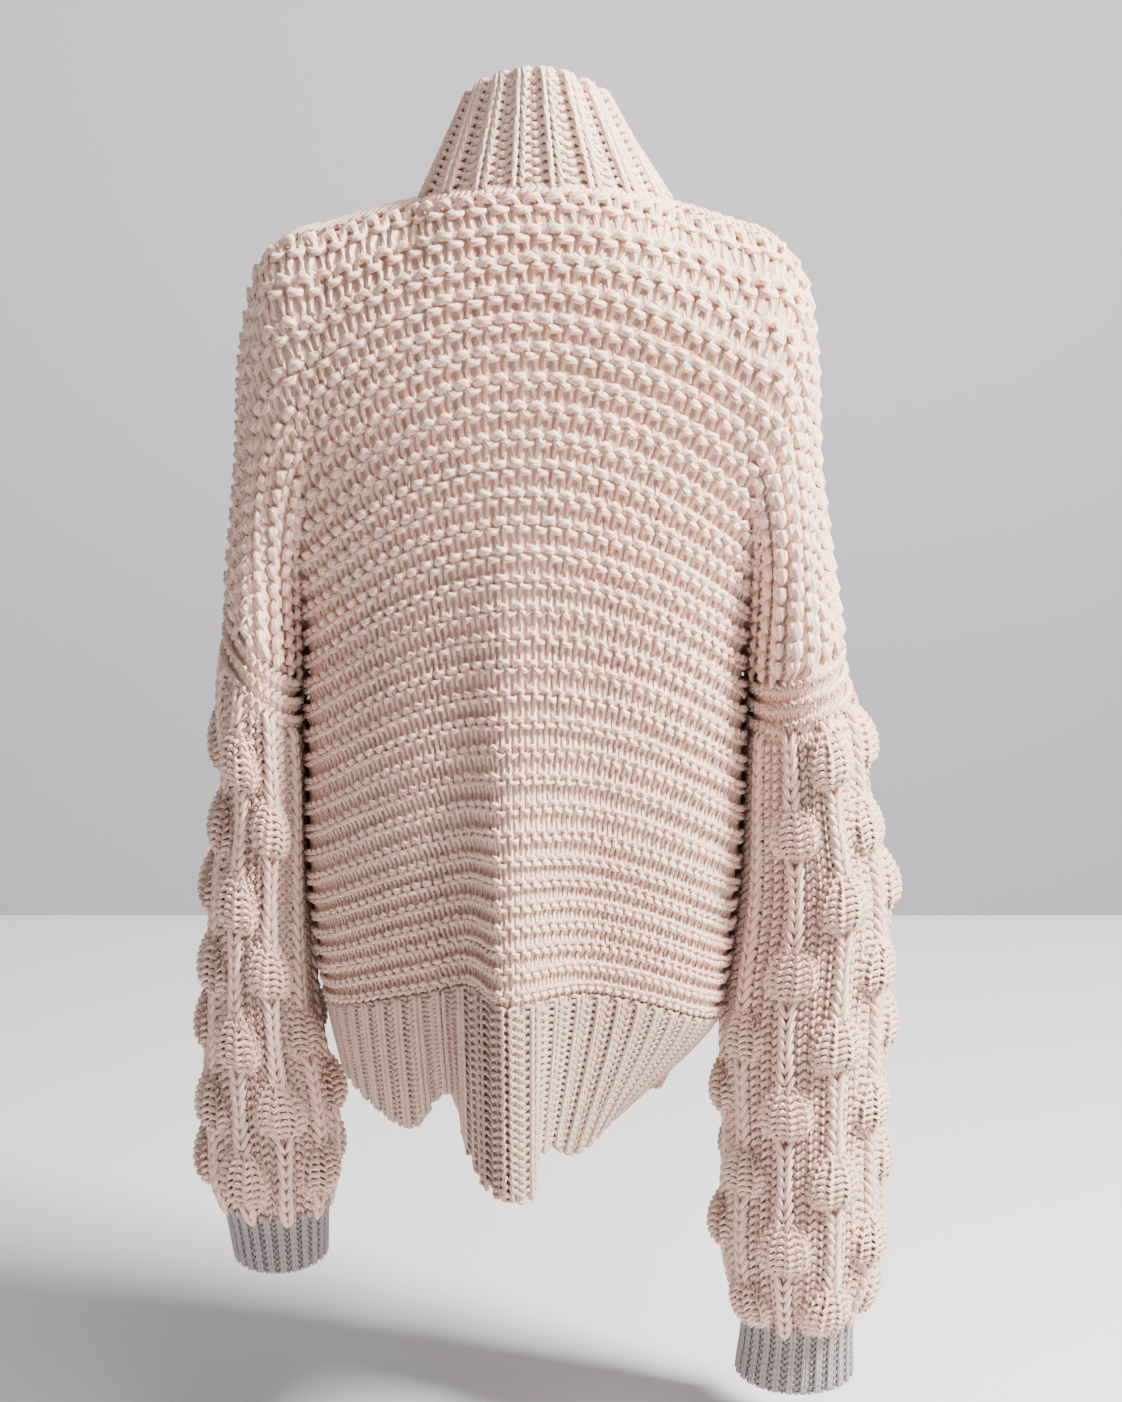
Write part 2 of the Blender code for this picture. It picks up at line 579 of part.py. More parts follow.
for side, table, name in ((1, SLEEVE_LEFT, "left"), (-1, SLEEVE_RIGHT, "right")):
    around = np.linspace(0, 1, SLEEVE_COLUMNS + 1)
    top = wing(side, BRIDGE, float(UNDERARM), 1)[2]
    low, cuff = table["z"][-1], table["z"][-2]
    seam_down = (top - cuff) / (top - low)
    count = int(round((top - cuff) / 0.0205 / 3)) * 3
    down = np.linspace(0, seam_down, count + 1)
    points = sleeve(side, around[:, None], down[None, :], table, SLEEVE_EASE)
    points[:, 0, 2] -= SEAM
    drop = (top - points[..., 2]) / BOBBLE_DROP
    columns = around[:, None] * BOBBLES_ROUND
    relief = np.zeros(points.shape[:2])
    for column in range(BOBBLES_ROUND + 1):
        phase = 0.5 * (column % 2) + 0.45
        wide = (columns - column) * 0.038 / BOBBLE_SIZE[0]
        tall = ((drop - phase + 0.5) % 1 - 0.5) * BOBBLE_DROP / BOBBLE_SIZE[1]
        relief = np.maximum(relief, BOBBLE * np.clip(1 - wide**2 - tall**2, 0, 1) ** 0.5)
    inside = np.clip(np.abs(around - 0.5) / 0.17 - 0.35, 0, 1)[:, None]
    high = np.clip(-points[..., 2] - 0.62, 0, 0.1) / 0.1
    relief = relief * np.maximum(inside, high) * fade(down, 0, seam_down, 0.05)[None, :]
    turn_out = -side
    top_ring = {(column, 0): facing for column, facing in enumerate(ring_normals(side))}
    wall("sleeve_" + name, points, relief, turn_out, list(range(SLEEVE_COLUMNS + 1)), list(range(0, count + 1, 3)), closed=True, level=[(EVERY, LAST)], ring=top_ring)
    ribs = 26
    around = np.arange(ribs * 2 + 1) / (ribs * 2)
    down = np.linspace(seam_down, 1, 5)
    down[1], down[3] = seam_down + 0.12 * (1 - seam_down), 1 - 0.12 * (1 - seam_down)
    points = sleeve(side, around[:, None], down[None, :], table, SLEEVE_EASE)
    points[:, 0, 2] -= SEAM
    relief = CUFF_RIB * (np.arange(len(around)) % 2)[:, None] * fade(down, seam_down, 1, 0.01)[None, :]
    wall("cuff_" + name, points, relief, turn_out, list(range(0, ribs * 2 + 1, 2)), [0, 2, 4], closed=True, level=[(EVERY, 0)])
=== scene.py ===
"""The looks of the open-front cardigan: real loops of yarn over each knitted piece of its frame.

Metres, +Z up. The front faces -Y and the wearer's left is +X, so the camera, which looks at the
back, stands at +Y. A row is one garter ridge, counted down from the neck; a course is one pass of
the yarn, a wale one stitch wide. Each piece of cloth has a thin backing, which stands for its CAD
node, and the yarn that lies on it.
"""

import bpy
import numpy as np
from math import pi, radians
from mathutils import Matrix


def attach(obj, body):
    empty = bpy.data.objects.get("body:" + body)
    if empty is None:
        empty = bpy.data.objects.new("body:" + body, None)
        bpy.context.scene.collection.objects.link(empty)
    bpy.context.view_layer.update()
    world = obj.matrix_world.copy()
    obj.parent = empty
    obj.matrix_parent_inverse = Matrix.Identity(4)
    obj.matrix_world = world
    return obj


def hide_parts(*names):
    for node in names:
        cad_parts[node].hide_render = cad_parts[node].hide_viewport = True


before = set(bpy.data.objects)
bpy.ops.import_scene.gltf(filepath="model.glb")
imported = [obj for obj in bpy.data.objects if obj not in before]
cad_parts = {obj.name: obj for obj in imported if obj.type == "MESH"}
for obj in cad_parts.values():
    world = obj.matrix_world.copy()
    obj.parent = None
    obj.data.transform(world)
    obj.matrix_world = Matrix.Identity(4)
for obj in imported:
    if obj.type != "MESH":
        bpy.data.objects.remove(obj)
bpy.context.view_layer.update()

# ---------------------------------------------------------------- the garment's shape, as in the frame

SEAM_SIDE = 0.00015
RIDGES = 30
UNDERARM = 14
NECK_MIDDLE = -0.016
NECK_HALF = 0.098
NECK_BACK = 0.062
SHOULDER_ROUND = 0.11
BRIDGE = 0.18

BODY = {
    "drop": (0.0, 0.10, 0.20, 0.31, 0.40, 0.50, 0.60, 0.636),
    "left": (0.160, 0.172, 0.179, 0.180, 0.182, 0.182, 0.172, 0.167),
    "right": (-0.176, -0.180, -0.181, -0.178, -0.180, -0.175, -0.165, -0.159),
    "back": (0.085, 0.101, 0.110, 0.114, 0.117, 0.121, 0.125, 0.123),
    "front": (0.080, 0.100, 0.114, 0.122, 0.126, 0.128, 0.126, 0.122),
    "side_drop": (0.030, 0.066, 0.084, 0.084, 0.078, 0.068, 0.052, 0.042),
    "valley": (0.070, 0.078, 0.054, 0.0024, 0.0, 0.0, 0.0, 0.0),
    "fold": (0.0, 0.0, 0.0, 0.004, 0.010, 0.024, 0.044, 0.054),
}
LOW_RIGHT = 0.016  # how much lower the right side hangs at the hem than the left one
FOLD_X = 0.016
FOLD_LEFT = 0.017
FOLD_RIGHT = 0.046
ROW_PITCH = (0.0222, 0.0172)
PITCH_CHANGE = 23

WING = {
    "step": (0.0, 0.08, 0.25, 0.60, 1.0),
    "left_x": (0.199, 0.210, 0.223, 0.231, 0.243),
    "left_z": (-0.045, -0.060, -0.112, -0.215, -0.330),
    "right_x": (-0.208, -0.220, -0.229, -0.236, -0.258),
    "right_z": (-0.050, -0.070, -0.118, -0.230, -0.368),
    "depth": (0.060, 0.063, 0.068, 0.079, 0.078),
}

FRONT_EDGE = {
    "row": (0.0, 2.0, 6.0, 10.0, 20.0, 30.0),
    "x": (0.082, 0.089, 0.103, 0.110, 0.111, 0.110),
}
FRONT_LOWER = 0.034

HEM = {
    "across": (-1.0, -0.6, -0.25, -0.10, -0.06, -0.03, 0.06, 0.16, 0.19, 0.23, 0.41, 0.62, 0.76, 0.95, 1.0),
    "drop": (0.064, 0.092, 0.138, 0.132, 0.138, 0.160, 0.165, 0.162, 0.148, 0.108, 0.114, 0.086, 0.068, 0.055, 0.052),
}
HEM_MIDDLE = 0.0
HEM_RIGHT = 0.53
HEM_LEFT = 0.93
HEM_FRONT_LEFT = 0.93
HEM_FRONT_RIGHT = 0.95
HEM_FRONT_DROP = 0.088
HEM_PULL = 0.94

BAND = {
    "row": (-4.0, 0.0, 2.5, 6.0, 10.0, 30.0),
    "x": (-0.49, -0.49, -0.66, -0.86, -0.97, -0.97),
    "y": (-0.18, -0.14, -0.40, -0.42, -0.22, -0.20),
    "z": (0.98, 0.80, 0.58, 0.26, 0.02, 0.0),
    "tilt": (0.06, 0.06, 0.03, 0.0, 0.0, 0.0),
}
BAND_WIDTH = 0.092
BAND_START = 0.0025

SLEEVE = {
    1: {
        "z": (-0.42, -0.49, -0.568, -0.69, -0.80, -0.845, -0.863, -0.914),
        "inner": (0.191, 0.190, 0.190, 0.187, 0.172, 0.174, 0.178, 0.181),
        "outer": (0.253, 0.250, 0.261, 0.269, 0.274, 0.271, 0.264, 0.254),
        "depth": (0.078, 0.073, 0.070, 0.067, 0.064, 0.058, 0.050, 0.045),
    },
    -1: {
        "z": (-0.43, -0.49, -0.568, -0.69, -0.80, -0.93, -0.966, -1.027),
        "inner": (-0.188, -0.187, -0.185, -0.1735, -0.177, -0.181, -0.192, -0.188),
        "outer": (-0.276, -0.281, -0.299, -0.302, -0.300, -0.297, -0.285, -0.284),
        "depth": (0.080, 0.077, 0.074, 0.072, 0.069, 0.062, 0.050, 0.046),
    },
}
SLEEVE_EASE = 0.09
BOBBLES_ROUND = 10
BOBBLE_DROP = 0.123
BOBBLE_SIZE = (0.021, 0.026)
BOBBLE = 0.011
COLUMN_WIDTH = 0.038


def smooth(table, column, at):
    """The column's value where the table's first column is `at`, along a smooth curve."""
    places = np.array(next(iter(table.values())), float)
    values = np.array(table[column], float)
    if places[0] > places[-1]:
        places, values = places[::-1], values[::-1]
    slopes = np.gradient(values, places)
    at = np.clip(np.asarray(at, float), places[0], places[-1])
    low = np.clip(np.searchsorted(places, at) - 1, 0, len(places) - 2)
    step = places[low + 1] - places[low]
    part = (at - places[low]) / step
    square, cube = part**2, part**3
    start = values[low] * (2 * cube - 3 * square + 1) + slopes[low] * step * (cube - 2 * square + part)
    end = values[low + 1] * (3 * square - 2 * cube) + slopes[low + 1] * step * (cube - square)
    return start + end


def drop_of(row):
    """How far a row is below the neck at the centre back."""
    row = np.asarray(row, float)
    return ROW_PITCH[0] * np.minimum(row, PITCH_CHANGE) + ROW_PITCH[1] * np.maximum(row - PITCH_CHANGE, 0)


def round_off(drop):
    """0 on top of the shoulder, 1 where the cloth hangs upright."""
    left = 1 - np.clip(drop / SHOULDER_ROUND, 0, 1)
    return np.sqrt(1 - left**2)


def fold(x, drop, across):
    """The fold down the centre back, which stands out more towards the hem."""
    away = x - FOLD_X
    width = np.where(away > 0, FOLD_LEFT, FOLD_RIGHT)
    height = smooth(BODY, "fold", drop)
    hollow = 0.22 * np.exp(-(((away - 0.036) / 0.020) ** 2))
    return height * (np.exp(-((away / width) ** 2)) - hollow) * np.cos(across * pi / 2)


def body(across, row, face):
    """A point of the body. across is -1 at the right side, 1 at the left; face 1 is back."""
    across, row = np.broadcast_arrays(np.asarray(across, float), np.asarray(row, float))
    drop = drop_of(row)
    side = np.where(across > 0, smooth(BODY, "left", drop), smooth(BODY, "right", drop))
    depth = smooth(BODY, "back" if face > 0 else "front", drop)
    valley = np.maximum(smooth(BODY, "valley", drop), 0)
    valley = np.where(row >= UNDERARM + 0.5, 0, valley)
    turn = np.arccos(np.clip(valley / depth, 0, 1) ** (1 / 0.8))
    middle = NECK_MIDDLE * np.exp(-((drop / 0.12) ** 2))
    size = np.abs(across)
    x = middle + (side - middle) * np.sin(size * turn) / np.sin(turn)
    y = depth * np.cos(size * turn).clip(0) ** 0.8
    most = smooth(BODY, "side_drop", drop) + np.where(across > 0, 0, LOW_RIGHT) * (drop / 0.636) ** 4
    lower = most * ((x - middle) / (side - middle)) ** 2
    if face < 0:
        lower = lower + FRONT_LOWER * (1 - size**2) * drop / 0.636
    z = -drop - lower
    from_neck = np.abs(x - NECK_MIDDLE) / NECK_HALF
    start_y = NECK_BACK * np.sqrt(np.clip(1 - from_neck**2, 0, 1)) if face > 0 else 0 * x
    turned = round_off(drop * (1 + 0.25 * np.clip(from_neck, 0, 1)))
    y = start_y + (y - start_y) * turned
    if face > 0:
        y = y + fold(x, drop, across)
    return np.stack([x, face * y, z], axis=-1)


def wing(side, out, row, face):
    """A point of the dropped shoulder, beside the body; out goes from 0 there to 1 at its edge."""
    out, row = np.broadcast_arrays(np.asarray(out, float), np.asarray(row, float))
    near = body(np.full(out.shape, float(side)), row, face)
    name = "left" if side > 0 else "right"
    step = (row / UNDERARM).clip(0, 1)
    far_x, far_z = smooth(WING, name + "_x", step), smooth(WING, name + "_z", step)
    depth = smooth(WING, "depth", step) * round_off(drop_of(row) * 1.25)
    valley = face * near[..., 1]
    bridge = 0.012 * side * step**0.8
    crossing = (out / BRIDGE).clip(0, 1)
    around = ((out - BRIDGE) / (1 - BRIDGE)).clip(0, 1)
    start = near[..., 0] + bridge
    turn = pi * around
    level = (valley / np.maximum(depth, 1e-6)).clip(0, 1)
    share = (1 - level) * (1 - np.cos(turn)) / 2 + level * np.sin(turn / 2)
    x = np.where(around > 0, start + (far_x - start) * share, near[..., 0] + bridge * crossing)
    y = (1 - level) * depth * np.sin(turn).clip(0) ** 0.9 + valley * np.cos(turn / 2).clip(0)
    z = near[..., 2] + (far_z - near[..., 2]) * (1 - np.cos(turn)) / 2
    return np.stack([x, face * y, z], axis=-1)


def hem(across, down, face):
    """A point of the hem band, down from 0 at its seam to 1 at its edge."""
    across, down = np.broadcast_arrays(np.asarray(across, float), np.asarray(down, float))
    top = body(across, np.full(across.shape, float(RIDGES)), face)
    if face > 0:
        drop = smooth(HEM, "drop", across)
    else:
        side_drop = np.where(across > 0, HEM["drop"][-1], HEM["drop"][0])
        drop = HEM_FRONT_DROP + (side_drop - HEM_FRONT_DROP) * np.abs(across) ** 6
    share = np.where(across > 0, HEM_LEFT, HEM_RIGHT)
    if face < 0:
        middle = np.where(across > 0, HEM_FRONT_LEFT, HEM_FRONT_RIGHT)
        share = share + (middle - share) * (1 - np.abs(across) ** 3)
    ease = down**1.25
    x = HEM_MIDDLE + (top[..., 0] - HEM_MIDDLE) * (1 + (share - 1) * ease)
    y = top[..., 1] * (1 + (HEM_PULL - 1) * ease)
    z = top[..., 2] - drop * down
    return np.stack([x, y, z], axis=-1)


def sleeve(side, around, down):
    """A point of the sleeve. around is 0 at the outer edge, 0.25 behind, 0.5 inside, 0.75 in front."""
    around, down = np.broadcast_arrays(np.asarray(around, float), np.asarray(down, float))
    table = SLEEVE[side]
    low = table["z"][-1]
    turn = around * 2 * pi
    behind = np.sin(turn) >= 0
    ring = np.abs(1 - (around % 1) * 2)
    out = BRIDGE + (1 - BRIDGE) * ring
    back = wing(side, out, np.full(out.shape, float(UNDERARM)), 1)
    front = wing(side, out, np.full(out.shape, float(UNDERARM)), -1)
    first = np.where(behind[..., None], back, front)
    z = first[..., 2] + (low - first[..., 2]) * down
    inner, outer = smooth(table, "inner", z), smooth(table, "outer", z)
    depth = smooth(table, "depth", z)
    middle, half = (inner + outer) / 2, (outer - inner) / 2
    own_x, own_y = middle + half * np.cos(turn), depth * np.sin(turn)
    keep = np.clip(1 - (first[..., 2] - z) / SLEEVE_EASE, 0, 1)
    keep = keep**2 * (3 - 2 * keep)
    x = own_x + (first[..., 0] - own_x) * keep
    y = own_y + (first[..., 1] - own_y) * keep
    return np.stack([x, y, z], axis=-1)


def edge_place(side, row):
    """Where across the front the band's edge is, so that its x follows FRONT_EDGE."""
    wanted = side * smooth(FRONT_EDGE, "x", row) + (0 if side > 0 else 1) * (
        2 * NECK_MIDDLE * np.exp(-((row / 5.0) ** 2))
    )
    tries = np.linspace(0, 1, 241)
    x = body(side * tries[:, None], np.asarray(row)[None, :], -1)[..., 0]
    found = [np.interp(side * wanted[i], side * x[:, i], tries) for i in range(len(row))]
    return np.array(found)


def band_edge():
    """The edge that the band is knitted onto, from the left hem up round the neck to the right
    hem, with the band's direction away from it."""
    rows = np.linspace(0, RIDGES, 121)
    hems = np.linspace(0.02, 1, 18)
    edges, ways = [], []
    for side in (1, -1):
        place = edge_place(side, rows)
        front = body(side * place, rows, -1)
        low = hem(np.full(hems.shape, side * place[-1]), hems, -1)
        at = np.concatenate([rows, np.full(hems.shape, float(RIDGES))])
        across = side * smooth(BAND, "x", at) + smooth(BAND, "tilt", at)
        edges.append(np.concatenate([front, low]))
        ways.append(np.stack([across, smooth(BAND, "y", at), smooth(BAND, "z", at)], axis=-1))
    turn = np.linspace(0, pi, 61)[1:-1]
    neck = np.stack([NECK_MIDDLE + NECK_HALF * np.cos(turn), NECK_BACK * np.sin(turn), 0 * turn], axis=-1)
    sides = edges[0][0, 2] * (1 - turn / pi) + edges[1][0, 2] * turn / pi
    neck[:, 2] = sides * np.abs(np.cos(turn)) ** 2
    at = -4 * np.sin(turn)
    neck_x = smooth(BAND, "x", at) * np.cos(turn) + smooth(BAND, "tilt", at)
    neck_way = np.stack([neck_x, smooth(BAND, "y", at), smooth(BAND, "z", at)], axis=-1)
    edge = np.concatenate([edges[0][::-1], neck, edges[1]])
    way = np.concatenate([ways[0][::-1], neck_way, ways[1]])
    return edge, way / np.linalg.norm(way, axis=-1, keepdims=True).clip(1, None)


# ---------------------------------------------------------------- cloth


class Cloth:
    """A fine grid over a piece of cloth: the point and the outward normal at any place on it.

    The first coordinate goes down the piece in courses, the second along it in wales or metres.
    """

    def __init__(self, points, downs, alongs, outward):
        self.points, self.downs, self.alongs = points, downs, alongs
        by_down = np.gradient(points, axis=0)
        self.pitch = np.linalg.norm(by_down, axis=-1) / (downs[1] - downs[0])
        by_along = np.gradient(points, axis=1)
        normal = np.cross(by_along, by_down) * outward
        self.normals = normal / np.linalg.norm(normal, axis=-1, keepdims=True).clip(1e-12)

    def at(self, down, along):
        """Points and normals at these places."""
        point, normal = self.mixed(down, along, self.points, self.normals)
        return point, normal / np.linalg.norm(normal, axis=-1, keepdims=True).clip(1e-12)

    def mixed(self, down, along, *grids):
        """The values of the grids at these places."""
        rows, columns = self.points.shape[:2]
        row = (down - self.downs[0]) / (self.downs[1] - self.downs[0])
        column = (along - self.alongs[0]) / (self.alongs[1] - self.alongs[0])
        row, column = row.clip(0, rows - 1.001), column.clip(0, columns - 1.001)
        i, j = row.astype(int), column.astype(int)
        u, v = row - i, column - j
        found = []
        for grid in grids:
            part, other = (u[..., None], v[..., None]) if grid.ndim == 3 else (u, v)
            high = grid[i, j] * (1 - other) + grid[i, j + 1] * other
            low = grid[i + 1, j] * (1 - other) + grid[i + 1, j + 1] * other
            found.append(high * (1 - part) + low * part)
        return found


def lengths(line):
    """How far along its line each point is."""
    return np.concatenate([[0], np.cumsum(np.linalg.norm(np.diff(line, axis=0), axis=1))])


WING_ROWS = 8  # the ridges that turn down over the dropped shoulder
WING_CORNER = (0.16, 1.0)  # how squarely the highest ridge turns, and the lowest one
ALONG_STEP = 0.004
ALONG_MOST = 0.66
ROW_STEP = 0.25
TORSO_ROWS = np.arange(0, RIDGES + ROW_STEP, ROW_STEP)


def torso_row(side, row, face):
    """A row from the middle to the side and, where it is high enough, on down over the shoulder."""
    middle = body(side * np.linspace(0, 1, 90), row, face)
    if row > WING_ROWS + 0.4:
        return middle
    reach = BRIDGE + (1 - BRIDGE) * (1 - min(row / WING_ROWS, 1))
    turn = pi / 2 * np.linspace(0, 1, 160)[1:] ** 1.6
    round_ = WING_CORNER[0] + (WING_CORNER[1] - WING_CORNER[0]) * min(row / WING_ROWS, 1) ** 0.8
    out, down = reach * np.sin(turn) ** round_, 1 - np.cos(turn).clip(0) ** round_
    outer = wing(side, out, row + (UNDERARM - row) * down, face)
    return np.concatenate([middle, outer])


def torso(face):
    """The back or the fronts with their dropped shoulders, by row and by metres from the middle,
    with how far from the middle each row ends and how far the side of the body is."""
    alongs = np.arange(-ALONG_MOST, ALONG_MOST + ALONG_STEP, ALONG_STEP)
    grid = np.zeros((len(TORSO_ROWS), len(alongs), 3))
    ends = {1: [], -1: []}
    sides = {1: [], -1: []}
    for index, row in enumerate(TORSO_ROWS):
        halves = []
        for side in (-1, 1):
            line = torso_row(side, row, face)
            length = lengths(line)
            sides[side].append(length[89])
            ends[side].append(length[-1] if row < WING_ROWS else length[89])
            last = line[-1] + (line[-1] - line[-3]) / (length[-1] - length[-3]) * (ALONG_MOST * 1.2 - length[-1])
            halves.append((np.append(length, ALONG_MOST * 1.2) * side, np.vstack([line, last])))
        at = np.concatenate([halves[0][0][::-1], halves[1][0][1:]])
        places = np.concatenate([halves[0][1][::-1], halves[1][1][1:]])
        for axis in range(3):
            grid[index, :, axis] = np.interp(alongs, at, places[:, axis])
    cloth = Cloth(grid, TORSO_ROWS, alongs, face)
    return cloth, ends, sides


# ---------------------------------------------------------------- yarn


TIP = (0.1, 0.8, 1.0)  # the yarn's thickness at its end and at the next points
UNEVEN = 0.04  # how much the loops differ in height, in courses


def path(cloth, course, first, last, stitch, place, knit, grain, keep=None, size=None):
    """The centre line of one course, from its first wale to its last.

    place turns a course and a wale into the cloth's own coordinates; knit says how far a stitch
    is a knit one (1) or a purl one (-1).
    """
    count = int(round((last - first) * grain))
    if count < 2:
        return None
    wale = np.linspace(first, last, count + 1)
    phase = 2 * pi * wale
    swing = np.cos(phase)
    head = (1 - swing) / 2
    uneven = UNEVEN * (np.sin(2.1 * wale + 1.3 * course) + np.sin(0.73 * wale - 2.1 * course))
    at_wale = wale + stitch["lean"] * np.sin(2 * phase)
    at_course = course + 0.5 + (stitch["reach"] + uneven) * np.sign(swing) * np.abs(swing) ** stitch["flat"]
    at_course = at_course - stitch["tilt"] * np.sin(2 * phase)
    here, above, below = knit(course, wale), knit(course - 1, wale), knit(course + 1, wale)
    over = -stitch["cross"] * np.cos(2 * phase) * (here * (1 - head) + above * head)
    ridge = stitch["ridge"] * (stitch["feet"] * (below - here) * (1 - head) + (here - above) * head) / 2
    raised = stitch["rib"] * (1 + here) / 2 - stitch["sink"] * (1 - swing**2)
    point, normal = cloth.at(*place(at_course, at_wale))
    scale = 1 if size is None else size(at_course, at_wale)
    line = point + normal * ((over + ridge) * scale + raised + stitch["lift"])[:, None]
    most = stitch["cross"] + stitch["ridge"] + 1e-9
    out = np.clip((over + ridge) / most, -0.7, 1)
    from_end = np.minimum(np.arange(len(line)), np.arange(len(line))[::-1])
    yarn = stitch["yarn"] * (1 + stitch["plump"] * out) * scale * np.interp(from_end, range(len(TIP)), TIP)
    kept = np.ones(len(line), bool) if keep is None else keep(at_course, at_wale)
    return line, normal, yarn, kept, 1 + stitch["broad"] * out.clip(0)


def chain(cloth, down, first, last, size, stitch):
    """A seam of two strands that wind round each other along a line of the cloth. size is how far
    they go down and up the cloth, in its own coordinates."""
    strands = []
    for start in (0, pi):
        turns = np.linspace(0, 2 * pi * round(abs(last - first) / stitch), int(abs(last - first) / stitch) * CHAIN["points"] + 1)
        point, normal = cloth.at(down + size * np.sin(turns + start), np.linspace(first, last, len(turns)))
        point = point + normal * (CHAIN["lift"] + CHAIN["high"] * np.cos(turns + start))[:, None]
        plain = np.ones(len(turns))
        strands.append((point, normal, CHAIN["yarn"] * plain, plain > 0, plain))
    return strands


CHAIN = {"lift": 0.0024, "high": 0.0013, "yarn": 0.0029, "points": 5}


def tubes(name, lines, sides, wool):
    """One mesh of yarn along many lines: centre, outward normal, radius, which points stay, how broad."""
    lines = [line for line in lines if line is not None]
    points = np.concatenate([line[0] for line in lines])
    normals = np.concatenate([line[1] for line in lines])
    radius = np.concatenate([line[2] for line in lines])
    broad = np.concatenate([line[4] for line in lines])
    kept = np.concatenate([line[3] for line in lines])
    owner = np.repeat(np.arange(len(lines)), [len(line[0]) for line in lines])
    follows = owner[1:] == owner[:-1]
    step = np.diff(points, axis=0) * follows[:, None]
    along = np.zeros(points.shape)
    along[1:] += step
    along[:-1] += step
    along /= np.linalg.norm(along, axis=-1, keepdims=True).clip(1e-12)
    up = normals - (normals * along).sum(-1, keepdims=True) * along
    up /= np.linalg.norm(up, axis=-1, keepdims=True).clip(1e-12)
    across = np.cross(along, up) * broad[:, None]
    turn = (np.arange(sides) + 0.5) / sides * 2 * pi
    ring = up[:, None] * np.cos(turn)[None, :, None] + across[:, None] * np.sin(turn)[None, :, None]
    spots = points[:, None] + ring * radius[:, None, None]
    joined = np.flatnonzero(follows & kept[1:] & kept[:-1])
    j = np.arange(sides)
    k = (j + 1) % sides
    here, there = joined[:, None] * sides, (joined[:, None] + 1) * sides
    quads = np.stack([here + j, here + k, there + k, there + j], axis=-1).reshape(-1, 4)
    length = np.concatenate([[0], np.cumsum(np.linalg.norm(step, axis=1))])
    low = np.broadcast_to(length[joined][:, None], (len(joined), sides))
    high = np.broadcast_to(length[joined + 1][:, None], (len(joined), sides))
    left = np.broadcast_to(j / sides, low.shape)
    right = left + 1 / sides
    uv = np.stack([np.stack([left, low], -1), np.stack([right, low], -1), np.stack([right, high], -1), np.stack([left, high], -1)], axis=2)
    used = np.zeros(len(points) * sides, bool)
    used[quads.ravel()] = True
    index = np.cumsum(used) - 1
    return mesh_of(name, spots.reshape(-1, 3)[used], index[quads], uv.reshape(-1, 2), wool)


def mesh_of(name, points, quads, uv, wool):
    """An object from points and four-cornered faces."""
    mesh = bpy.data.meshes.new(name)
    mesh.vertices.add(len(points))
    mesh.vertices.foreach_set("co", np.ascontiguousarray(points, np.float32).ravel())
    mesh.loops.add(quads.size)
    mesh.loops.foreach_set("vertex_index", np.ascontiguousarray(quads, np.int32).ravel())
    mesh.polygons.add(len(quads))
    mesh.polygons.foreach_set("loop_start", np.arange(0, quads.size, 4, dtype=np.int32))
    mesh.polygons.foreach_set("use_smooth", np.ones(len(quads), bool))
    layer = mesh.uv_layers.new(name="knit")
    layer.data.foreach_set("uv", np.ascontiguousarray(uv, np.float32).ravel())
    mesh.update(calc_edges=True)
    mesh.validate()
    mesh.materials.append(wool)
    piece = bpy.data.objects.new(name, mesh)
    bpy.context.scene.collection.objects.link(piece)
    return piece


def backing(name, cloth, downs, alongs, wool, closed=False, raised=None):
    """The thin cloth behind the yarn, over a grid of its places, raised by a function of them."""
    down, along = np.meshgrid(downs, alongs, indexing="ij") if np.ndim(alongs) == 1 else (downs, alongs)
    points, normal = cloth.at(down, along)
    if raised is not None:
        points = points + normal * raised(down, along)[..., None]
    rows, columns = down.shape
    if closed:
        points[:, -1] = points[:, 0]
    i, j = np.meshgrid(np.arange(rows - 1), np.arange(columns - 1), indexing="ij")
    i, j = i.ravel(), j.ravel()
    quads = np.stack([i * columns + j, (i + 1) * columns + j, (i + 1) * columns + j + 1, i * columns + j + 1], axis=-1)
    flat = quads.ravel()
    uv = np.stack([along.ravel()[flat], down.ravel()[flat]], axis=-1)
    if closed:
        last = quads % columns == columns - 1
        quads = np.where(last, quads - (columns - 1), quads)
    return mesh_of(name, points.reshape(-1, 3), quads, uv, wool)


# ---------------------------------------------------------------- materials


PLIES = 5


